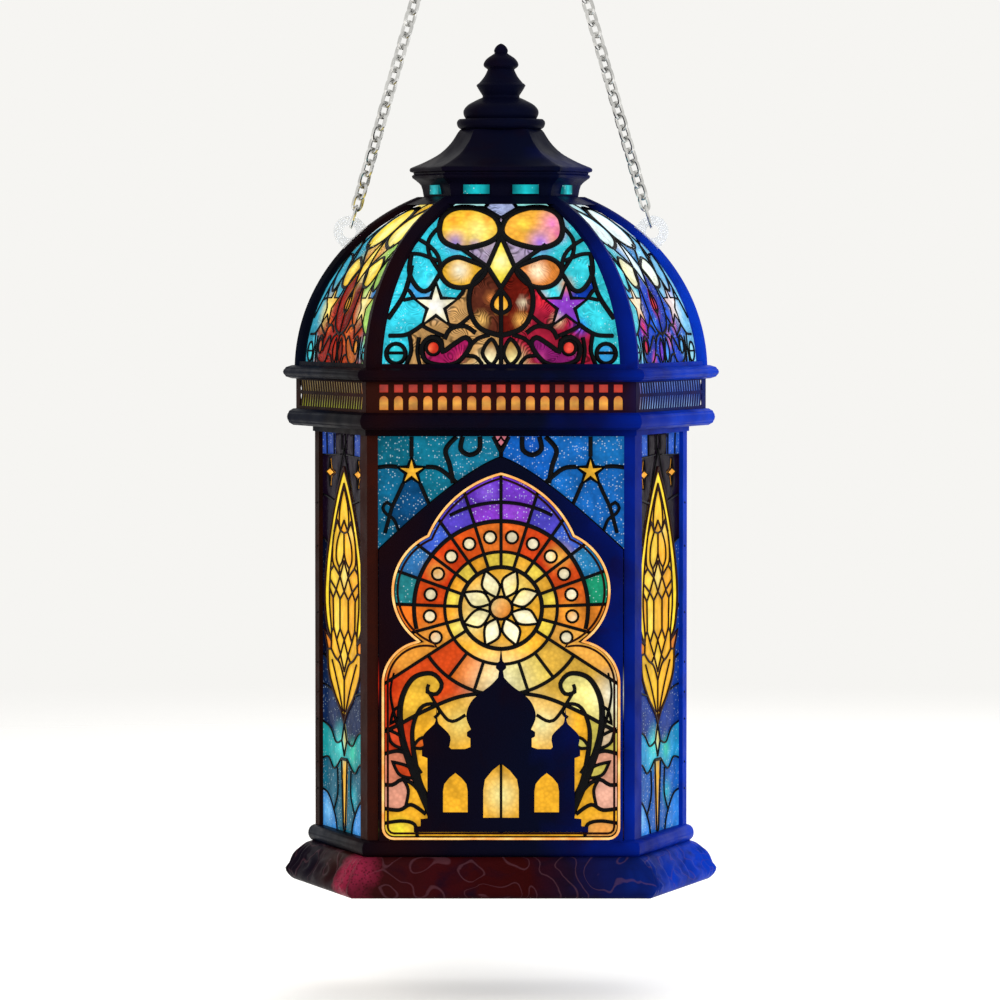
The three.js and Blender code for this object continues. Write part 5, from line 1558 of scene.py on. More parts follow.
# The hills, scrolls and beds round the pavilion, and the light behind it.
GARDEN_LEADS = (
    (straight, 0.8, (0, 52.6), (0, 3)),
    (arc, 1.1, SUN, RAY_RING, 214, 269.9),
    (straight, 1.0, polar(SUN, ROSE_RIM, 233), polar(SUN, RAY_RING, 233)),
    (straight, 1.0, polar(SUN, ROSE_RIM, 252), polar(SUN, RAY_RING, 252)),
    (curve, 1.0, (-21.4, 44.6), (-15.4, 36), (-10.4, 37.6)),
    (in_arch, 1.2, (0, 44.5), (-12, 43), (-22, 39), (-31, 34.2), (-36, 32)),
    (in_arch, 1.2, (-23.4, 20.4), (-27, 25.5), (-30.5, 27), (-36, 25.6)),
    (in_arch, 1.2, (-22, 12.5), (-25.6, 17), (-29, 18.6), (-32, 17), (-36, 17.4)),
    (in_arch, 1.2, (-22, 8.4), (-26.4, 11.2), (-30, 9.6), (-36, 10.4)),
    (curve, 1.0, (-28.8, 18.8), (-27.2, 15.5), (-28, 10.6)),
    (in_arch, 1.1, (-24.6, 1.8), (-25.4, 5.4), (-29.4, 6.4), (-36, 5.4)),
    (curve, 2.7, (-20.4, 8.4), (-22.6, 13.4), (-25.4, 20), (-29, 31), (-29.4, 41), (-26, 48.2),
     (-20.4, 49.8), (-17.4, 46.8), (-18.8, 43.8), (-21.6, 44.4), (-21.2, 46.6),
     {"taper": 0.4, "height": 0.8}),
    (curve, 2.0, (-21, 12), (-23.6, 17), (-25.2, 24), (-26, 33), (-23.6, 39.6), (-19.8, 40.8), (-18, 38.4),
     (-19.6, 36.8), {"taper": 0.45, "height": 0.7}),
    (curve, 1.2, (-27.4, 27), (-30.8, 36), (-32.4, 44), (-31.4, 50), {"taper": 0.5, "height": 0.8}),
    (leaf, 1.0, (-25.0, 19), (-31.8, 23.8), 1.8),
    (leaf, 1.0, (-27.6, 27.4), (-33.4, 33.4), 1.8),
    (leaf, 1.0, (-25.8, 28), (-20.2, 30.6), 1.5),
    (leaf, 0.9, (-29.4, 40.4), (-32.4, 35), 1.2),
)
GARDEN_TINTS = (
    (polar(SUN, JEWEL_RING, 223), "#e8501c #f4c04a"),
    (polar(SUN, JEWEL_RING, 243), "#ee7a22 #f8d860"),
    (polar(SUN, JEWEL_RING, 260), "#f6a62e #fae67a"),
    ((-14, 45.6), "#f29a2a #f8d84c"),
    ((-25, 50.5), "#ea5a20 #f8ecae"),
    ((-6, 40), "#f8b42c #fbe04c"),
    ((-14, 33), "#f6a82c #f9e268"),
    ((-20, 45.4), "#f2bc3a #f6e88a"),
    ((-33.2, 41), "#dc3a18 #f8eeb4"),
    ((-31, 31), "#e8502a #f6d8ae"),
    ((-26.6, 44), "#ee7a30 #faf4c4"),
    ((-30.6, 46), "#e65a26 #f8f0b8"),
    ((-22.5, 34), "#f4aa30 #f8ec8a"),
    ((-31.6, 24.8), "#e88a6a #eca88a"),
    ((-24.4, 22), "#f2a044 #f6d878"),
    ((-28.4, 21.4), "#d84a20 #e0d060"),
    ((-30.6, 30.4), "#d8401c #d8c85a"),
    ((-23, 29.3), "#e86a24 #e8dc70"),
    ((-33, 22), "#e9a07c #edb08e"),
    ((-32, 14), "#f0a488 #f4b69c"),
    ((-25, 14), "#ecd070 #98d88c"),
    ((-28, 8.6), "#6cc488 #74c89c"),
    ((-34, 8), "#6cc488 #74c89c"),
    ((-29, 3.4), "#f8c03c #f6b058"),
    ((-23, 4), "#f0e63c #f2e46a"),
    ((-14, 20), "#f8cc38 #f8d63e"),
    ((-6, 20), "#f8cc38 #f8d63e"),
)
GARDEN_GLOWS = (
    (0, 47, 15, "#fff8c4"), (-12, 35, 10, "#ffe27a"), (12, 35, 11, "#fff6b0"), (-30, 3.6, 6, "#f6f03c"),
    (0, 14, 9, "#fff2a0"), (-34, 47, 8, "#d8280e"), (33, 44, 9, "#fdfbe0"), (30, 4, 6, "#f2a04c"),
)
ROSE_GLOWS = (
    (-5, 71, 9, "#fff2a8"), (-9, 64, 7, "#ffee98"), (5, 75, 8, "#ffe070"), (-4, 103, 5, "#9a6af0"),
    (-19, 80, 5, "#f6b04a"), (17, 84, 6, "#f8c050"), (20, 68, 6, "#f6a838"), (-21, 62, 5, "#f8a040"),
)


def rose(work: Cartoon) -> None:
    """Draws the rose with its jewelled rays, in the arch's head."""
    rim = FRONT_ARCH.outline()
    once = {"both": False}
    work.lead(arc(SUN, ROSE_HEART, 0, 360), 0.9, **once)
    work.tint(SUN, "#f08a24")
    for k in range(8):
        turn = 45 * k + 22.5
        petal = leaf(polar(SUN, ROSE_HEART, turn), polar(SUN, 11.9, turn), 2.6)
        work.lead(petal, 0.8, **once)
        work.tints.append(Tint(polar(SUN, 7.6, turn), "#fff4c8", 1.25))
        work.tints.append(Tint(polar(SUN, 10.2, turn + 22.5), "#f8b432", 1.1))
    for radius, width in ((ROSE_RADIUS, 1.3), (ROSE_RIM, 1.0)):
        work.lead(arc(SUN, radius, 0, 360), width, **once)
    work.lead(arc(SUN, RAY_RING, -14, 194), 1.3, **once)
    work.lead(arc(SUN, HEAD_RING, 61, 119), 1.1, **once)
    for k in range(RAYS + 1):
        turn = RAY_START + RAY_SPAN * k / RAYS
        ray = [polar(SUN, ROSE_RADIUS - 0.2 + 0.5 * step, turn) for step in range(80)]
        work.lead(clipped(ray, rim), 1.0, **once)
    for k in range(RAYS // 2):
        turn = RAY_START + RAY_SPAN * (RAYS - 0.5 - k) / RAYS
        jewel = polar(SUN, JEWEL_RING, turn)
        work.lead(arc(jewel, 1.8, 0, 360, 0.8), 0.7)
        work.tint(jewel, "#fff0c4 #fff2cc", 1.08)
        work.tint(polar(SUN, 14.3, turn), ("#fbdc50", "#f6a92e #f8b63a")[k % 2])
        work.tint(polar(SUN, 18, turn), NEAR_RAYS[k])
        if k:
            work.tint(polar(SUN, 28, turn), FAR_RAYS[k - 1])
    work.tint((-2.2, 102.4), "#6a34c8 #7a3cd0")
    work.tint((-8, 100.4), "#3a3ab4 #4444c8")


def wide_cartoon(half: float, foot: float, top: float) -> Cartoon:
    """Draws the window of a wide face: the field over the band, the band, and the arch's picture.

    Args:
        half: Half the pane's width.
        foot: Its lower edge.
        top: Its upper edge.

    Returns:
        The cartoon.
    """
    work = Cartoon(box(-half, half, foot, top, 1.2))
    work.lead(band_edge(half), 0.8, both=False)
    work.lead(FRONT_ARCH.outline(), 0.8, both=False)
    work.draw(FIELD_LEADS)
    work.paint(FIELD_TINTS)
    rose(work)
    work.draw(GARDEN_LEADS)
    work.paint(GARDEN_TINTS)
    work.glow(ROSE_GLOWS + GARDEN_GLOWS)
    work.paint((((-half + 0.4, 60), "#05060f"), ((0, 111), "#05060f")))
    return work


def pavilion() -> tuple[Line, list[Line]]:
    """A domed garden pavilion in outline, with three open arches.

    Returns:
        Its outline and its openings.
    """
    half = [(0, 57.5), (-0.5, 53.4), (-1.5, 52.6), (-1.5, 51.4), (-0.6, 50.6), (-0.9, 48.6)]
    half += curve((-0.9, 48.6), (-3.2, 46.2), (-8.4, 42), (-10.2, 37.4), (-8.8, 33.4), step=1.2)[1:]
    half += [(-10.0, 32.6), (-10.0, 31.4), (-9, 30.8), (-9, 28.2), (-10.6, 27.6), (-14.6, 27.6)]
    spire = -18.9
    minaret = curve((-15.2, 28.2), (-14.9, 31.4), (-17.6, 34.4), (-18.5, 35.6), (spire, 40))
    half += minaret + [(2 * spire - u, v) for u, v in minaret[::-1][1:]]
    half += [(-23.2, 27.6), (-23.2, 25.6), (-21.6, 25), (-21.6, 7.2), (-23.6, 7.0), (-23.6, 4.9)]
    half += [(-25.6, 4.7), (-25.6, 3.2)]
    outline = half + mirrored(half)[::-1]
    openings = []
    for centre, width, sill, head in ((0, 5.2, 7.4, 23.4), (-13.4, 3.6, 9, 20.6), (13.4, 3.6, 9, 20.6)):
        jamb = head - width * 1.5
        side = [(-width, sill), (-width, jamb), (-width * 0.9, jamb + width * 0.6)]
        side.append((-width * 0.5, jamb + width * 1.1))
        shape = side + [(0, head)] + mirrored(side)[::-1]
        openings.append([(centre + u, v) for u, v in [*shape, shape[0]]])
    return [*outline, outline[0]], openings


# The side windows' cartoon, in millimetres from the middle of the opening and over the deck.
ALMOND_STRETCH = 1.12  # The almond is made wider than it is drawn.
ALMOND_LEADS = (
    (curve, 2.0, (0, 109.4), (-5.6, 102), (-11.4, 91), (-15.6, 79.5), (-17, 70), (-15, 61.6), (-11.2, 57.2),
     {"height": 0.9}),
    (curve, 1.2, (0, 104.6), (-3.8, 99.2), (-8.4, 90.4), (-11.8, 79), (-12.8, 69), (-11.2, 60.6),
     (-11.2, 57.2)),
    (straight, 1.1, (-11.2, 57.2), (-17.4, 60), (-14.4, 54.4), (-11.4, 54.6), (-11.2, 57.2)),
    (curve, 1.8, (-14.4, 54.4), (-13.6, 48), (-8.4, 41.4), (-2.6, 36.6), (0, 33.2), {"height": 0.9}),
    (curve, 1.2, (0, 46), (-3.6, 50.6), (-8, 52.4), (-11.4, 54.6)),
    (curve, 1.0, (-1.2, 36.6), (-4.4, 42.4), (-7.4, 47), (-10.6, 51.4)),
    (straight, 1.1, (0, 46), (0, 33.2)),
    (curve, 1.0, (0, 103.6), (-3.0, 98.6), (-4.2, 93.4), (-3.2, 90.6)),
    (straight, 1.2, (-8.8, 90), (-6, 93.4), (-3.2, 90.4), (0, 93.6)),
    (straight, 1.1, (0, 89.8), (0, 84)),
    (straight, 1.0, (-3.2, 90.4), (0, 89.8)),
    (curve, 1.0, (-6.2, 93), (-9.4, 88), (-10.2, 82), (-9, 79.8)),
    (curve, 1.0, (0, 84), (-1.6, 81.4), (-4.4, 79.4)),
    (curve, 1.0, (-3.2, 90.4), (-6.2, 86.4), (-6.8, 82), (-4.4, 79.4)),
    (straight, 1.1, (0, 81.6), (-3.6, 76.8), (0, 72.4)),
    (straight, 1.1, (-12, 78), (-9, 79.8), (-3.6, 76.8), (-7, 72.6), (-12.4, 75.4)),
    (straight, 1.0, (-3.6, 76.8), (-4.4, 79.4)),
    (straight, 1.1, (-3.6, 70), (-3.6, 61.2)),
    (straight, 1.1, (0, 72.4), (-3.6, 70), (-7, 72.6), (-9.6, 70), (-12.6, 72.6)),
    (straight, 1.1, (-9.6, 70), (-9.2, 61.2)),
    (straight, 1.1, (0, 58), (-3.6, 61.2), (-6.6, 57.6), (-9.2, 61.2), (-11.2, 59.6)),
    (straight, 1.1, (0, 58), (-3.2, 53.4), (0, 48.6)),
    (straight, 1.0, (-6.6, 57.6), (-3.2, 53.4), (-5.2, 51.8)),
)
ALMOND_GOLD = ("#f6c02c", "#f4b428", "#f8cc3c", "#f2aa24")
ALMOND_SPOTS = (
    (-1.2, 97), (-5.6, 96), (-1.5, 87), (-4.5, 84), (-8.4, 86), (0, 77), (-7.8, 76.6), (-5, 78.4),
    (-1.8, 74), (-1, 65), (-6.4, 65), (-11.4, 66), (-3.4, 58), (-9, 58), (-1, 53), (-5.6, 54.6),
    (-4, 47), (-9.6, 47), (-1.4, 40), (-1.4, 91.4), (-7.4, 91.4), (-10.8, 84), (-11.6, 74), (-9.5, 56.4),
    (-2, 50),
)
SIDE_LEADS = (
    (curve, 1.0, (-6.4, 103), (-3.4, 109), (0, 115)),
    (star, 0.6, (-13.6, 107.6), 4.2, 1.4, 4),
    *((straight, 0.7, (u, v), (u * 1.02, PANE_TOP)) for u, v in ((-16.4, 113), (-9.4, 113), (-1.8, 114.6))),
    (curve, 0.7, (-25, 112.6), (-14, 112.8), (-3, 113.2)),
    *((curve, 1.0, (reach * ALMOND_STRETCH, v), (-21, v + 1.6), (-26, v - 1))
      for v, reach in ((99, -8), (86, -13.4), (66, -16.8), (51, -14.2), (42, -8.8))),
    (straight, 1.1, (0, 33.2), (-2.4, 28), (0, 23.4)),
    (straight, 1.6, (-2.9, 22.4), (0, 22.4), {"height": 0.8}),
    (straight, 1.1, (-2.7, 22.4), (-0.9, 1.6), (0, 0.6)),
    (curve, 1.0, (-26, 33), (-14, 31), (-8, 27), (-2.4, 28)),
    (curve, 1.0, (-3.2, 22.4), (-10, 19), (-16, 22), (-26, 20)),
    (curve, 1.0, (-26, 12), (-16, 11), (-9, 5), (-7, 0.6)),
    (curve, 0.9, (-10.4, 6.4), (-6.4, 12), (-6.6, 19.6)),
)
SIDE_TINTS = (
    ((-16.4, 57), "#f2902a"),
    ((-4.2, 106), "#140818"),
    ((-13.6, 107.6), "#ffae3c", 1.25),
    *(((u, 117), "top") for u in (-20, -13, -5, -0.5)),
    *(((-18, v), "night") for v in (109.8, 104, 92, 78)),
    *(((-18.6, v), "mid") for v in (58.5, 47)),
    ((-16, 37), "mid"),
    ((-6, 31), "low"),
    ((-14, 26), "glow"),
    ((-1, 28), "#f6c832", 1.1),
    ((-1, 12), "#f4b83a", 1.05),
    ((-16, 16), "low"),
    ((-4.5, 8), "leaf"),
    ((-16, 5), "foot"),
    ((-8.4, 13), "glow"),
)
# The side panes' colours under the painted warm and cold light.
SIDE_COLOURS = {
    Light.WARM: {"top": "#2c4aa0", "night": "#070c22", "mid": "#10264e", "glow": "#20a0a2", "low": "#155a70",
                 "foot": "#3c8ad0", "leaf": "#124634"},
    Light.COLD: {"top": "#2a5cc6", "night": "#081450", "mid": "#12388e", "glow": "#2494cc", "low": "#1a5cb0",
                 "foot": "#3488e6", "leaf": "#175a54"},
}
SIDE_GLOWS = (
    (-4, 26.5, 9, "#58f0e8"), (8, 25, 6, "#3fd8b0"), (9, 12, 6, "#2ab8c8"), (-16, 6, 7, "#7cc4f4"),
    (0, 77, 7, "#fff08a"), (-6, 64, 7, "#ffdc58"), (6, 90, 6, "#ffe070"), (-2, 52, 5, "#ffd860"),
)


def side_cartoon(side: Side, left: float, right: float) -> Cartoon:
    """Draws a side window: a golden almond of lattice on a stem, over blue glass.

    Args:
        side: Which face.
        left: Left edge of the pane.
        right: Right edge of the pane.

    Returns:
        The cartoon.
    """
    work = Cartoon(box(left, right, 0.3, PANE_TOP, 1.2))
    work.draw(ALMOND_LEADS, ALMOND_STRETCH, metal=Metal.COPPER)
    work.draw(SIDE_LEADS)
    work.tint((-16.4, 73), "#fbd634 #f8b82c", 1.2)
    for i, (u, v) in enumerate(ALMOND_SPOTS):
        work.tint((u * ALMOND_STRETCH, v), f"{ALMOND_GOLD[i % 4]} {ALMOND_GOLD[(i + 1) % 4]}", 1.15)
    work.paint(SIDE_TINTS, SIDE_COLOURS[side.light])
    work.glow(SIDE_GLOWS)
    return work


# Sub-assemblies.
class Palette:
    """The materials of the lantern."""

    def __init__(self) -> None:
        """Mixes them."""
        self.enamel = ENAMEL.made("dark_enamel_on_steel")
        self.brown = BROWN_ENAMEL.made("brown_enamel_on_steel")
        self.cast = CAST.made("enamelled_casting")
        self.hammered = HAMMERED.made("hammered_dome_glass")
        self.glitter = GLITTER.made("glitter_flecked_glass")
        self.streaky = STREAKY.made("streaky_side_glass")
        self.gilt = gilding()
        self.liner = liner_glass()
        self.acrylic = acrylic()
        # Lead and copper foil blackened with patina: dull, near-black lines with almost no shine.
        self.lead = plain_metal("patinated_lead", "#050507", 0.45, 0.0, 0.06, gloss=0.08)
        self.copper = plain_metal("blackened_copper_foil", "#260a06", 0.45, 0.0, 0.06, gloss=0.08)
        # Bright nickel plate on drawn wire: it mirrors the pale room, with duller spots.
        self.nickel = plain_metal("nickel_plated_steel", "#dcdcda", 0.2, 1.0, 0.02)
        # Poured wax lit from inside, a glowing amber lens, and two satin mouldings.
        self.wax = soft_stuff("ivory_wax", "#f4e6c8", 0.5, 0.25, 0.4)
        self.flame = soft_stuff("amber_moulded_plastic", "#ffb84a", 0.3, 1.0)
        self.white = soft_stuff("white_moulded_plastic", "#e8e6e0", 0.45)
        self.black = soft_stuff("black_moulded_plastic", "#161616", 0.4)

    def of_lead(self, metal: Metal) -> Material:
        """The material of a kind of lead line."""
        return {Metal.LEAD: self.lead, Metal.COPPER: self.copper}[metal]

    def of_slot(self, slot: Optional[str]) -> Material:
        """The material of a CAD node, by the record's slot that it is finished with."""
        return {
            "brown_metal": self.brown, "cast_metal": self.cast, "arcade_glass": self.streaky,
            "side_glass": self.streaky, "dome_glass": self.hammered, "amber_glass": self.liner,
            "steel": self.nickel, "clear_acrylic": self.acrylic, "candle_wax": self.wax,
            "flame_lens": self.flame, "white_plastic": self.white, "black_plastic": self.black,
        }.get(slot, self.enamel)


@dataclass
class Assembly:
    """A group of pieces made from one palette.

    Attributes:
        palette: The materials.
    """

    palette: Palette

    def glaze(self, node: str, body: str, slot: str, glazier: Glazier, glass: Material,
              thickness: float = PANE_THICKNESS) -> None:
        """Makes a window and its leads in place of a CAD pane.

        Args:
            node: The pane.
            body: The body that it rides on.
            slot: The record's slot of the pane.
            glazier: What makes it.
            glass: The glass's material.
            thickness: The glass's thickness.
        """
        glazier.glass(thickness).made(f"{node}_work", glass, body, slot, node, turned=False, crease=60)
        for metal in Metal:
            draft = glazier.lead(metal)
            if draft.points:
                draft.made(f"{node}_{metal.value}", self.palette.of_lead(metal), body, "brown_metal")


@dataclass
class Windows(Assembly):
    """The six windows of the body.

    Attributes:
        side_half: Half the width of a side pane.
        side_shift: How far a side pane's opening lies off the middle of its face.
        side_slim: Share of the drawn thickness that the leads of the foreshortened side panes get.
    """

    side_half: float = 24.1
    side_shift: float = 1.25
    side_slim: float = 0.6

    def build(self) -> None:
        """Glazes them."""
        self._wide("front_glass", "lantern", Side.FRONT, 3)
        self._wide("door_glass", "door", Side.BACK, 5)
        for side in Side:
            if not side.is_wide:
                self._narrow(side)

    def _wide(self, node: str, body: str, side: Side, seed: int) -> None:
        """Glazes a wide face."""
        work = wide_cartoon(high(node).x, low(node).z - DECK, high(node).z - DECK)
        glazier = Glazier(work, wall(BODY.grown(-PANE_DEPTH), side, DECK), seed)
        self.glaze(node, body, "arcade_glass", glazier, self.palette.glitter)

    def _narrow(self, side: Side) -> None:
        """Glazes a side face, with its almond."""
        node = f"{side.label}_glass"
        shift = self.side_shift if side in (Side.FRONT_RIGHT, Side.BACK_LEFT) else -self.side_shift
        work = side_cartoon(side, -self.side_half - shift, self.side_half - shift)
        surface = wall(BODY.grown(-PANE_DEPTH), side, DECK, shift)
        glazier = Glazier(work, surface, 10 + side.value, self.side_slim)
        self.glaze(node, "lantern", "side_glass", glazier, self.palette.streaky)
        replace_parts(bpy.data.objects[f"{node}_{Metal.COPPER.value}"], f"{side.label}_tracery")


@dataclass
class Dome(Assembly):
    """The dome's panes and the covers of its ribs.

    Attributes:
        cover: How far a rib cover reaches along the glass on each side.
        corner_cover: The same at the two side corners.
        slim: Share of the drawn thickness that the leads of the foreshortened panes get.
        steps: How many steps a rib cover has.
    """

    cover: float = 3.0
    corner_cover: float = 2.4
    slim: float = 0.55
    steps: int = 32

    def build(self) -> None:
        """Glazes the dome and covers its ribs."""
        for side in Side:
            work = dome_cartoon(side)
            glazier = Glazier(work, dome_wall(side), 20 + side.value, 0.95 if side.is_wide else self.slim)
            glass = self.palette.hammered
            self.glaze(f"{side.label}_dome_glass", "lantern", "dome_glass", glazier, glass, DOME_PANE_DEPTH)
        ribs = Draft()
        for corner in range(6):
            ribs.loft(self._rib(corner))
        ribs.made("rib_covers", self.palette.enamel, "lantern", "dark_metal")

    def _rib(self, corner: int) -> list[list[Vector]]:
        """The rings of one rounded cover over a rib, from the cornice to the cap."""
        sides = list(Side)
        before, after = sides[(corner - 1) % 6], sides[corner]
        start = math.asin(DOME_CENTRE_DROP / DOME_RISE)
        end = math.asin((DOME_TOP - DOME_FOOT + DOME_CENTRE_DROP) / DOME_RISE)
        rings = []
        for k in range(self.steps + 1):
            angle = start + (end - start) * k / self.steps
            v = DOME_RISE * math.sin(angle) - DOME_CENTRE_DROP
            ring = []
            for side, at_end in ((before, True), (after, False)):
                half = EAVE.scaled(math.cos(angle)).front_half
                reach = (self.corner_cover if corner in (2, 5) else self.cover) / self._squeeze(side)
                stops = ((reach, 1.2), (reach, 0.1), (reach * 0.55, -0.35), (0.0, -0.5))
                for back, depth in stops if at_end else stops[::-1][1:]:
                    width = EAVE.grown(-depth).front_half / EAVE.front_half * half
                    u = max(0.0, width - back)
                    ring.append(dome_point(side, u if at_end else -u, v, depth))
            inner = (ring[0] + ring[-1]) / 2
            ring.append(Vector((inner.x * 0.985, inner.y * 0.985, inner.z)))
            rings.append(ring)
        return rings

    @staticmethod
    def _squeeze(side: Side) -> float:
        """How much shorter a dome face is than the front one."""
        left, right = EAVE.face(side)
        return (right - left).length / (2 * FRONT_HALF)


@dataclass
class Arches(Assembly):
    """The arched plate of the front window, and the gilt beads and pavilions of the front and the door.

    Attributes:
        bead: Radius of the gilt wire round an opening.
        inner_line: Radius of the copper wire inside it.
        inner_inset: How far the copper wire lies inside the opening.
        relief: How far a pavilion stands out of its glass.
    """

    bead: float = 0.38
    inner_line: float = 0.34
    inner_inset: float = 1.2
    relief: float = 0.9

    def build(self) -> None:
        """Makes them."""
        half = high("front_arch").x
        foot = low("front_arch").z - DECK
        face_out = -low("front_arch").y - BODY.half_depth
        back_out = -high("front_arch").y - BODY.half_depth
        edge = [(-half, foot), (half, foot)] + band_edge(half)[::-1] + [(-half, foot)]
        band = Draft()
        plate(band, edge, [FRONT_ARCH.outline()], wall(BODY, Side.FRONT, DECK), back_out, face_out)
        band.made("arch_band", self.palette.enamel, "lantern", "dark_metal", "front_arch", crease=30)
        self._dress("front", "lantern", Side.FRONT, FRONT_ARCH, face_out)
        self._dress("door", "door", Side.BACK, DOOR_ARCH, high("door_frame").y - BODY.half_depth)

    def _dress(self, label: str, body: str, side: Side, arch: Arch, out: float) -> None:
        """A gilt wire and a copper one round an arched opening, and the dark pavilion on its glass."""
        surface = wall(BODY, side, DECK)
        for name, inset, radius, material, sunk in (
            ("bead", 0.2, self.bead, self.palette.gilt, 0.1),
            ("inner_line", -self.inner_inset, self.inner_line, self.palette.copper, 1.9),
        ):
            path = [surface(u, v, out - sunk) for u, v in arch.grown(inset).outline()]
            draft = Draft()
            draft.tube(path[:-1], radius, 8, loop=True)
            draft.made(f"{label}_arch_{name}", material, body, "brown_metal")
        outline, openings = pavilion()
        draft = Draft()
        plate(draft, outline, openings, wall(BODY.grown(-PANE_DEPTH), side, DECK), -0.2, self.relief)
        draft.made(f"{label}_pavilion", self.palette.enamel, body, "dark_metal", crease=30)


@dataclass
class Mouldings(Assembly):
    """The rounded edges of the foot and the two cornices.

    Attributes:
        base: How far the base moulding's edge stands out.
        lower: How far the lower cornice's edge stands out.
        upper: How far the upper cornice's edge stands out.
    """

    base: float = 2.1
    lower: float = 2.7
    upper: float = 3.8

    def build(self) -> None:
        """Makes them."""
        for name, plan, inner, nose, foot, top in (
            ("base_moulding", BODY, -4, self.base, FOOT_TOP - 0.4, DECK + 0.9),
            ("lower_cornice", EAVE, -9, self.lower, RAIL + 1.8, FRIEZE_FOOT),
            ("upper_cornice", EAVE, -6, self.upper, FRIEZE_TOP, DOME_FOOT),
        ):
            draft = Draft()
            profile = [(inner, foot), (-0.6, foot), *nosing(nose, foot, top), (-0.6, top), (inner, top)]
            hex_ring(draft, profile, plan)
            draft.made(f"{name}_nosing", self.palette.enamel, "lantern", "dark_metal")


@dataclass
class Foot(Assembly):
    """The flared, carved foot: lobes between claws at the corners.

    Attributes:
        claw: How far a claw reaches along a face from its corner.
        toes: Distance between the grooves of a claw.
        claw_relief: How far a claw stands out.
        steps: How many points a face has.
    """

    claw: float = 8.5
    toes: float = 2.9
    claw_relief: float = 1.7
    steps: int = 84

    def build(self) -> None:
        """Makes it."""
        tall = FOOT_TOP - GROUND
        flare = curve((0.2, tall), (2.6, 11.0), (4.7, 8.8), (5.9, 6.6), (6.9, 4.9), (7.9, 3.4), (7.7, 1.3),
                      (6.2, 0))
        rings = []
        for out, level in [*flare, (-3.4, 0), (-3.4, tall - 3), (-4.4, tall)]:
            rings.append([p for side in Side for p in self._course(side, out, level, tall)])
        draft = Draft()
        draft.loft(rings, loop=True)
        draft.made("carved_foot", self.palette.cast, "lantern", "cast_metal", "foot", crease=70)

    def _course(self, side: Side, out: float, level: float, tall: float) -> list[Vector]:
        """One face's row of points at a level.

        Args:
            side: Which face.
            out: How far the flare stands out there.
            level: Height over the ground.
            tall: Height of the foot.

        Returns:
            The points from its left corner, without the right one.
        """
        carved = max(0.0, min(1.0, (tall - level - 0.6) / 2.5, (level - 1.6) / 1.6)) if out > 0 else 0.0
        left, right = BODY.grown(out).face(side)
        way = (right - left).normalized()
        normal = Vector((way.y, -way.x, 0))
        size = (right - left).length
        lobes = 5 if side.is_wide else 3
        row = []
        for k in range(self.steps):
            share = k / self.steps
            ends = min(share, 1 - share) * size
            phase = (share * lobes) % 1
            lobe = 1 - (2 * phase - 1) ** 4
            curl = 0.45 * math.cos(math.hypot((phase - 0.5) * 9, (level - 5.5) * 1.2) * 2.1)
            claw = min(1.0, max(0.0, 1 - ends / self.claw) ** 0.4 * 1.15)
            toe = 0.45 * math.cos(2 * math.pi * ends / self.toes) + 0.25 * math.sin(level * 1.1 + ends * 0.7)
            relief = carved * ((lobe + curl) * (1 - claw) * 0.8 + claw * (self.claw_relief + toe) - 1.25)
            row.append(left + way * size * share + normal * relief + Vector((0, 0, GROUND + level)))
        return row


@dataclass
class Frieze(Assembly):
    """The six pierced walls between the cornices: squares over arches, and slanted slots at the sides.

    Attributes:
        pitch: Distance between the openings of a wide face.
        side_pitch: Distance between the slots of a side face.
        side_thickness: Thickness of a side wall at its slots.
        slant: How far a slot leans over its height.
    """

    pitch: float = 4.27
    side_pitch: float = 2.0
    side_thickness: float = 0.2
    slant: float = 0.9

    def build(self) -> None:
        """Makes them."""
        tall = FRIEZE_TOP - FRIEZE_FOOT
        for side in Side:
            left, right = EAVE.face(side)
            half = (right - left).length / 2
            pitch = self.pitch if side.is_wide else self.side_pitch
            count = int((half - 1.9) * 2 / pitch)
            holes = []
            for k in range(count):
                u = (k - (count - 1) / 2) * pitch
                holes += self._cell(u, pitch * 0.3) if side.is_wide else self._slots(u, pitch * 0.27)
            back = -1.2 if side.is_wide else 0.15 - self.side_thickness
            node = f"{side.label}_frieze"
            draft = Draft()
            plate(draft, box(-half, half, 0, tall), holes, wall(EAVE, side, FRIEZE_FOOT), back, 0.15)
            draft.made(f"{node}_wall", self.palette.brown, "lantern", "brown_metal", node, crease=30)

    @staticmethod
    def _cell(u: float, wide: float) -> list[Line]:
        """A square over an arch."""
        arch = [(u + wide, 0.8), *arc((u, 3.6), wide, 0, 180, 0.5), (u - wide, 0.8), (u + wide, 0.8)]
        return [box(u - wide, u + wide, 5.9, 8.2), arch]

    def _slots(self, u: float, wide: float) -> list[Line]:
        """Two slanted slots, one over the other."""
        result = []
        for foot, head, lean in ((0.9, 4.5, self.slant), (5.5, 8.6, -self.slant)):
            half = lean / 2
            result.append([
                (u - half - wide, foot), (u - half + wide, foot), (u + half + wide, head),
                (u + half - wide, head), (u - half - wide, foot),
            ])
        return result


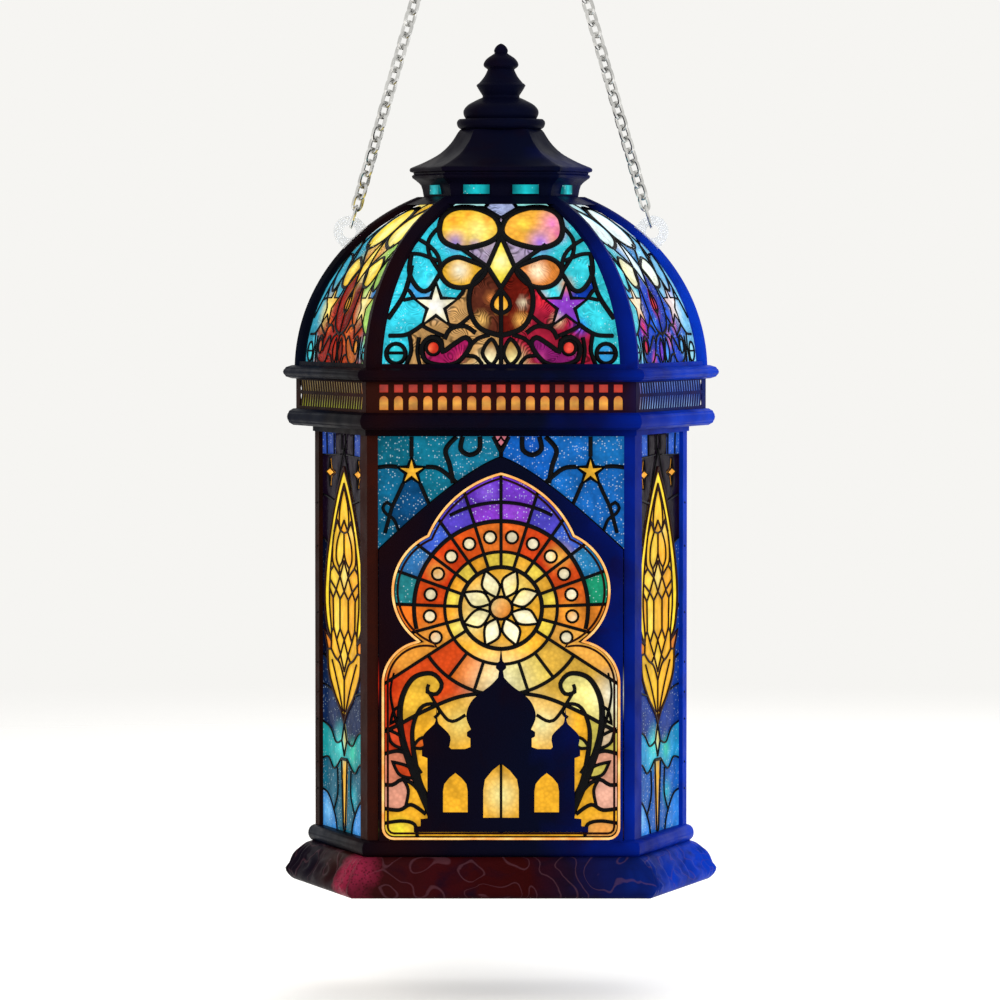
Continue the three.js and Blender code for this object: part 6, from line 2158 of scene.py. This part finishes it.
@dataclass
class Cap(Assembly):
    """The roof cap with small lights in its neck, and the finial.

    Attributes:
        light: Left edge, right edge, foot and head of a neck light of a wide face.
        light_out: How far half the neck's width at its lights is from the centre.
    """

    light: tuple[float, float, float, float] = (3.4, 11.2, 0.7, 3.4)
    light_out: float = 24.3

    def build(self) -> None:
        """Makes them."""
        self._skirt()
        self._lights()
        self._finial()

    def _skirt(self) -> None:
        """The six-sided skirt with its brim."""
        profile = [(22.4, 0), (23.2, 0), (23.4, 1.0), *curve((23.4, 1), (24, 3.4), (26, 5.2))[1:]]
        profile += [(26.6, 5.6), (26.8, 6.3), (26.2, 6.7), (26.3, 7.2), (27.3, 7.5), (27.5, 8.1)]
        profile.append((27.2, 8.6))
        profile += curve((26.6, 8.9), (22.6, 10.6), (18.2, 13.1), (15, 16.2), (12.9, 19.4), (12.2, 20.2))
        rings = []
        for half, level in profile:
            plan = EAVE.scaled(half / EAVE.half_width)
            corners = [c + Vector((0, 0, DOME_TOP + level)) for c in plan.corners()]
            ring = []
            for a, b in zip(corners, corners[1:] + corners[:1]):
                ring += [a.lerp(b, k / 8) for k in (0, 0.35, 1, 2, 4, 6, 7, 7.65)]
            rings.append(ring)
        draft = Draft()
        draft.loft(rings)
        draft.made("roof_cap_skirt", self.palette.enamel, "lantern", "dark_metal", "roof_cap", crease=50)

    def _lights(self) -> None:
        """Small panes of sea-green glass in the neck."""
        left, right, foot, head = self.light
        draft = Draft()
        for side in Side:
            surface = wall(EAVE.scaled(self.light_out / EAVE.half_width), side, DOME_TOP)
            spans = [(left, right), (-right, -left)] if side.is_wide else [(-left, left)]
            for start, end in spans:
                points, faces, _ = triangles([box(start, end, foot, head, 0.8)])
                middle = (start + end) / 2

                def paint(point: Flat, middle: float = middle, half: float = (end - start) / 2) -> Colour:
                    """Painted light: bright in the middle of the pane, darker green towards its ends."""
                    share = abs(point[0] - middle) / half
                    near, far = linear("#1cc4cc"), linear("#066a70")
                    return (*(n + (f - n) * share for n, f in zip(near[:3], far[:3])), 0.0)

                front, back = (lambda p: surface(*p, 0.1)), (lambda p: surface(*p, -0.9))
                close_sheet(draft, points, faces, front, back, paint)
        draft.made("neck_lights", self.palette.hammered, "lantern", "dome_glass", crease=60)

    def _finial(self) -> None:
        """The turned finial: collar, bulb, tier, ball and tip."""
        turning = [
            *curve((11.9, 0), (12.7, 0.5), (13.2, 1.4), (13.2, 2.4), (12.6, 3.1), step=0.4),
            *curve((10.6, 3.2), (11.2, 4.4), (11.2, 5.8), (9.9, 7.4), (7.4, 8.8), (5.6, 9.6), step=0.5),
            *curve((5.5, 10.1), (6.6, 11.8), (7.4, 13.2), step=0.5), (7.0, 13.7),
            *curve((6.6, 13.9), (5.0, 15.9), (4.0, 17.9), step=0.5),
            *curve((4.1, 18.1), (5.1, 18.9), (5.2, 19.8), (4.3, 21.2), (2.3, 22.6), step=0.4),
            *curve((1.9, 22.9), (2.1, 23.6), (1.7, 24.6), (0.9, 25.4), (0.06, 25.8), step=0.3),
        ]
        draft = Draft()
        around = [(math.cos(a), math.sin(a)) for a in turns(56)]
        draft.loft([[Vector((r * x, r * y, CAP_TOP + z)) for x, y in around] for r, z in turning])
        draft.made("finial_turning", self.palette.enamel, "lantern", "dark_metal", "finial", crease=50)


@dataclass
class Hangings(Assembly):
    """The hanging ring and the two chains with their jump rings.

    Attributes:
        ring: Radius and wire radius of the hanging ring.
        jump: The same of a jump ring.
        end: The same of a chain's round end link.
        hole: Distance of a jump ring's centre from the centre line, and its level.
        fork: The same of the point that a chain is pulled towards.
        links: How many links a chain has.
        pitch: Distance between two links.
        bow: Radius of a link's ends.
        shank: Half the straight part of a link.
        wire: Radius of its wire.
        first: Distance from the jump ring's centre to the first link's.
        reach: The same to the end link's.
    """

    ring: tuple[float, float] = (9.0, 1.2)
    jump: tuple[float, float] = (3.4, 0.45)
    end: tuple[float, float] = (2.7, 0.5)
    hole: Flat = (44.22, -156.05)
    fork: Flat = (1.7, -6.84)
    links: int = 41
    pitch: float = 3.6
    bow: float = 1.72
    shank: float = 0.65
    wire: float = 0.55
    first: float = 4.39
    reach: float = 152.45

    def build(self) -> None:
        """Makes them."""
        across, up = Vector((1, 0, 0)), Vector((0, 0, 1))
        ring = Draft()
        ring.tube(self._loop(Vector(), across, up, self.ring[0], 48), self.ring[1], 12, loop=True)
        ring.made("hanging_ring_wire", self.palette.nickel, "hanger", "steel", "hanging_ring")
        for hand, name in ((-1, "left"), (1, "right")):
            self._leg(hand, name)

    @staticmethod
    def _loop(middle: Vector, side: Vector, way: Vector, radius: float, count: int) -> list[Vector]:
        """A circle's points in the plane of two directions."""
        return [middle + (side * math.cos(a) + way * math.sin(a)) * radius for a in turns(count)]

    def _leg(self, hand: int, name: str) -> None:
        """One chain with its jump ring.

        Args:
            hand: -1 on the left, 1 on the right.
            name: What the side is called.
        """
        foot = Vector((hand * self.hole[0], 0, self.hole[1]))
        way = (Vector((hand * self.fork[0], 0, self.fork[1])) - foot).normalized()
        depth = Vector((0, 1, 0))
        across = Vector((way.z, 0, -way.x))
        jump = Draft()
        jump.tube(self._loop(foot, depth, way, self.jump[0], 32), self.jump[1], 8, loop=True)
        jump.made(f"{name}_jump_ring_wire", self.palette.nickel, "sling", "steel", f"{name}_jump_ring")
        chain = Draft()
        for k in range(self.links):
            side = (across + depth * (-1 if k % 2 else 1)).normalized()
            middle = foot + way * (self.first + self.pitch * k)
            path = []
            for a in turns(24):
                shank = math.copysign(self.shank, math.cos(a + 0.01))
                path.append(middle + way * (math.cos(a) * self.bow + shank) + side * math.sin(a) * self.bow)
            chain.tube(path, self.wire, 8, loop=True)
        end = foot + way * self.reach
        chain.tube(self._loop(end, depth, way, self.end[0], 28), self.end[1], 8, loop=True)
        chain.made(f"{name}_chain_links", self.palette.nickel, "sling", "steel", f"{name}_chain")


# Stage.
def stage() -> None:
    """Sets the floor and the pale background."""
    ground = (GROUND - 34) * MM
    size = 40.0
    mesh = bpy.data.meshes.new("studio_floor")
    corners = [(-size, -size, ground), (size, -size, ground), (size, size, ground), (-size, size, ground)]
    mesh.from_pydata(corners, [], [(0, 1, 2, 3)])
    floor = bpy.data.objects.new("studio_floor", mesh)
    bpy.context.scene.collection.objects.link(floor)
    coat = Coat("pale_floor")
    tone = {0: coat.cloud(60, 2), 6: linear("#eceae6"), 7: linear("#f4f2ee")}
    shine = coat.add("Math", (seen_ray(coat), 0.4), operation="MULTIPLY")
    away = coat.add("VectorMath", (coat.place,), "Value", operation="LENGTH")
    look = {"Roughness": 0.8, "Specular IOR Level": 0.1, "Emission Color": linear("#f6f5f2")}
    look["Base Color"] = coat.add("Mix", tone, 2, data_type="RGBA")
    look["Emission Strength"] = shine
    look["Alpha"] = coat.add("MapRange", (away, 0.45, 1.3, 1, 0))
    coat.feed(coat.shader, look)
    mesh.materials.append(coat.material)
    floor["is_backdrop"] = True
    world = bpy.data.worlds.new("studio")
    nodes = Nodes(world)
    dim = nodes.add("Background", (linear("#f2f4f8"), 0.5))
    bright = nodes.add("Background", (linear("#f6f5f2"), 1.0))
    nodes.add("OutputWorld", (nodes.add("MixShader", (seen_ray(nodes), dim, bright)),))
    bpy.context.scene.world = world


def seen_ray(nodes: Nodes) -> Socket:
    """Whether a ray comes straight from the camera, or from metal or glass that shows the background."""
    camera_ray = nodes.add("LightPath", {}, "Is Camera Ray")
    rays = camera_ray.node.outputs
    through = nodes.add("Math", (rays["Is Glossy Ray"], rays["Is Transmission Ray"]), operation="MAXIMUM")
    return nodes.add("Math", (camera_ray, through), operation="MAXIMUM")


@dataclass(frozen=True)
class Lamp:
    """A round studio lamp that points at the lantern's middle.

    Attributes:
        name: Its name.
        at: Where it stands, in metres.
        size: Its width in metres.
        power: Its power in watts.
        code: Its colour.
    """

    name: str
    at: tuple[float, float, float]
    size: float
    power: float
    code: str

    def lit(self) -> None:
        """Sets it up."""
        lamp = bpy.data.lights.new(self.name, "AREA")
        lamp.shape = "DISK"
        lamp.size = self.size
        lamp.energy = self.power
        lamp.color = linear(self.code)[:3]
        holder = bpy.data.objects.new(self.name, lamp)
        holder.location = self.at
        way = Vector((0, 0, -0.24)) - Vector(self.at)
        holder.rotation_euler = way.to_track_quat("-Z", "Y").to_euler()
        holder.visible_glossy = False
        bpy.context.scene.collection.objects.link(holder)


LAMPS = (
    Lamp("key", (-0.55, -0.9, 0.25), 0.55, 7.0, "#fff6ea"),
    Lamp("fill", (0.75, -0.7, 0.0), 0.6, 6.0, "#eef3ff"),
    Lamp("rim", (0.3, 0.9, 0.4), 0.7, 8.0, "#ffffff"),
)


def camera() -> None:
    """Sets the camera where the photograph was taken from."""
    distance, elevation = 1.673, math.radians(2.37)
    target = Vector((-0.0003, 0, -0.24125))
    lens = bpy.data.cameras.new("camera")
    lens.lens = 200
    lens.sensor_width = 36
    holder = bpy.data.objects.new("camera", lens)
    holder.location = target + Vector((0, -math.cos(elevation), math.sin(elevation))) * distance
    holder.rotation_euler = (math.pi / 2 - elevation, 0, 0)
    bpy.context.scene.collection.objects.link(holder)
    bpy.context.scene.camera = holder
    bpy.context.scene.view_settings.view_transform = "Standard"


def dress_nodes(palette: Palette) -> None:
    """Gives each CAD node that still shows its material."""
    for name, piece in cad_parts.items():
        if piece.hide_render:
            continue
        slot = next((m.name.split(".")[0] for m in piece.data.materials if m), None)
        material = palette.of_slot(slot)
        if piece.data.materials:
            piece.data.materials[0] = material
        else:
            piece.data.materials.append(material)
        log.info("%s: %s, finished with %s", name, slot, material.name)


def write_sizes() -> None:
    """Gathers the CAD model's box and the visual model's box, in metres, as lists; they are not kept."""
    boxes = {"cad": CAD_BOUNDS, "visual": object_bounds()}
    {name: [list(corner) for corner in box] for name, box in boxes.items()}


def main() -> None:
    """Builds the scene."""
    logging.basicConfig(level=logging.INFO)
    camera()
    stage()
    for lamp in LAMPS:
        lamp.lit()
    palette = Palette()
    for assembly in (Windows, Dome, Arches, Mouldings, Foot, Frieze, Cap, Hangings):
        log.info("%s", assembly.__name__.lower())
        assembly(palette).build()
    dress_nodes(palette)
    write_sizes()


if __name__ == "__main__":
    main()
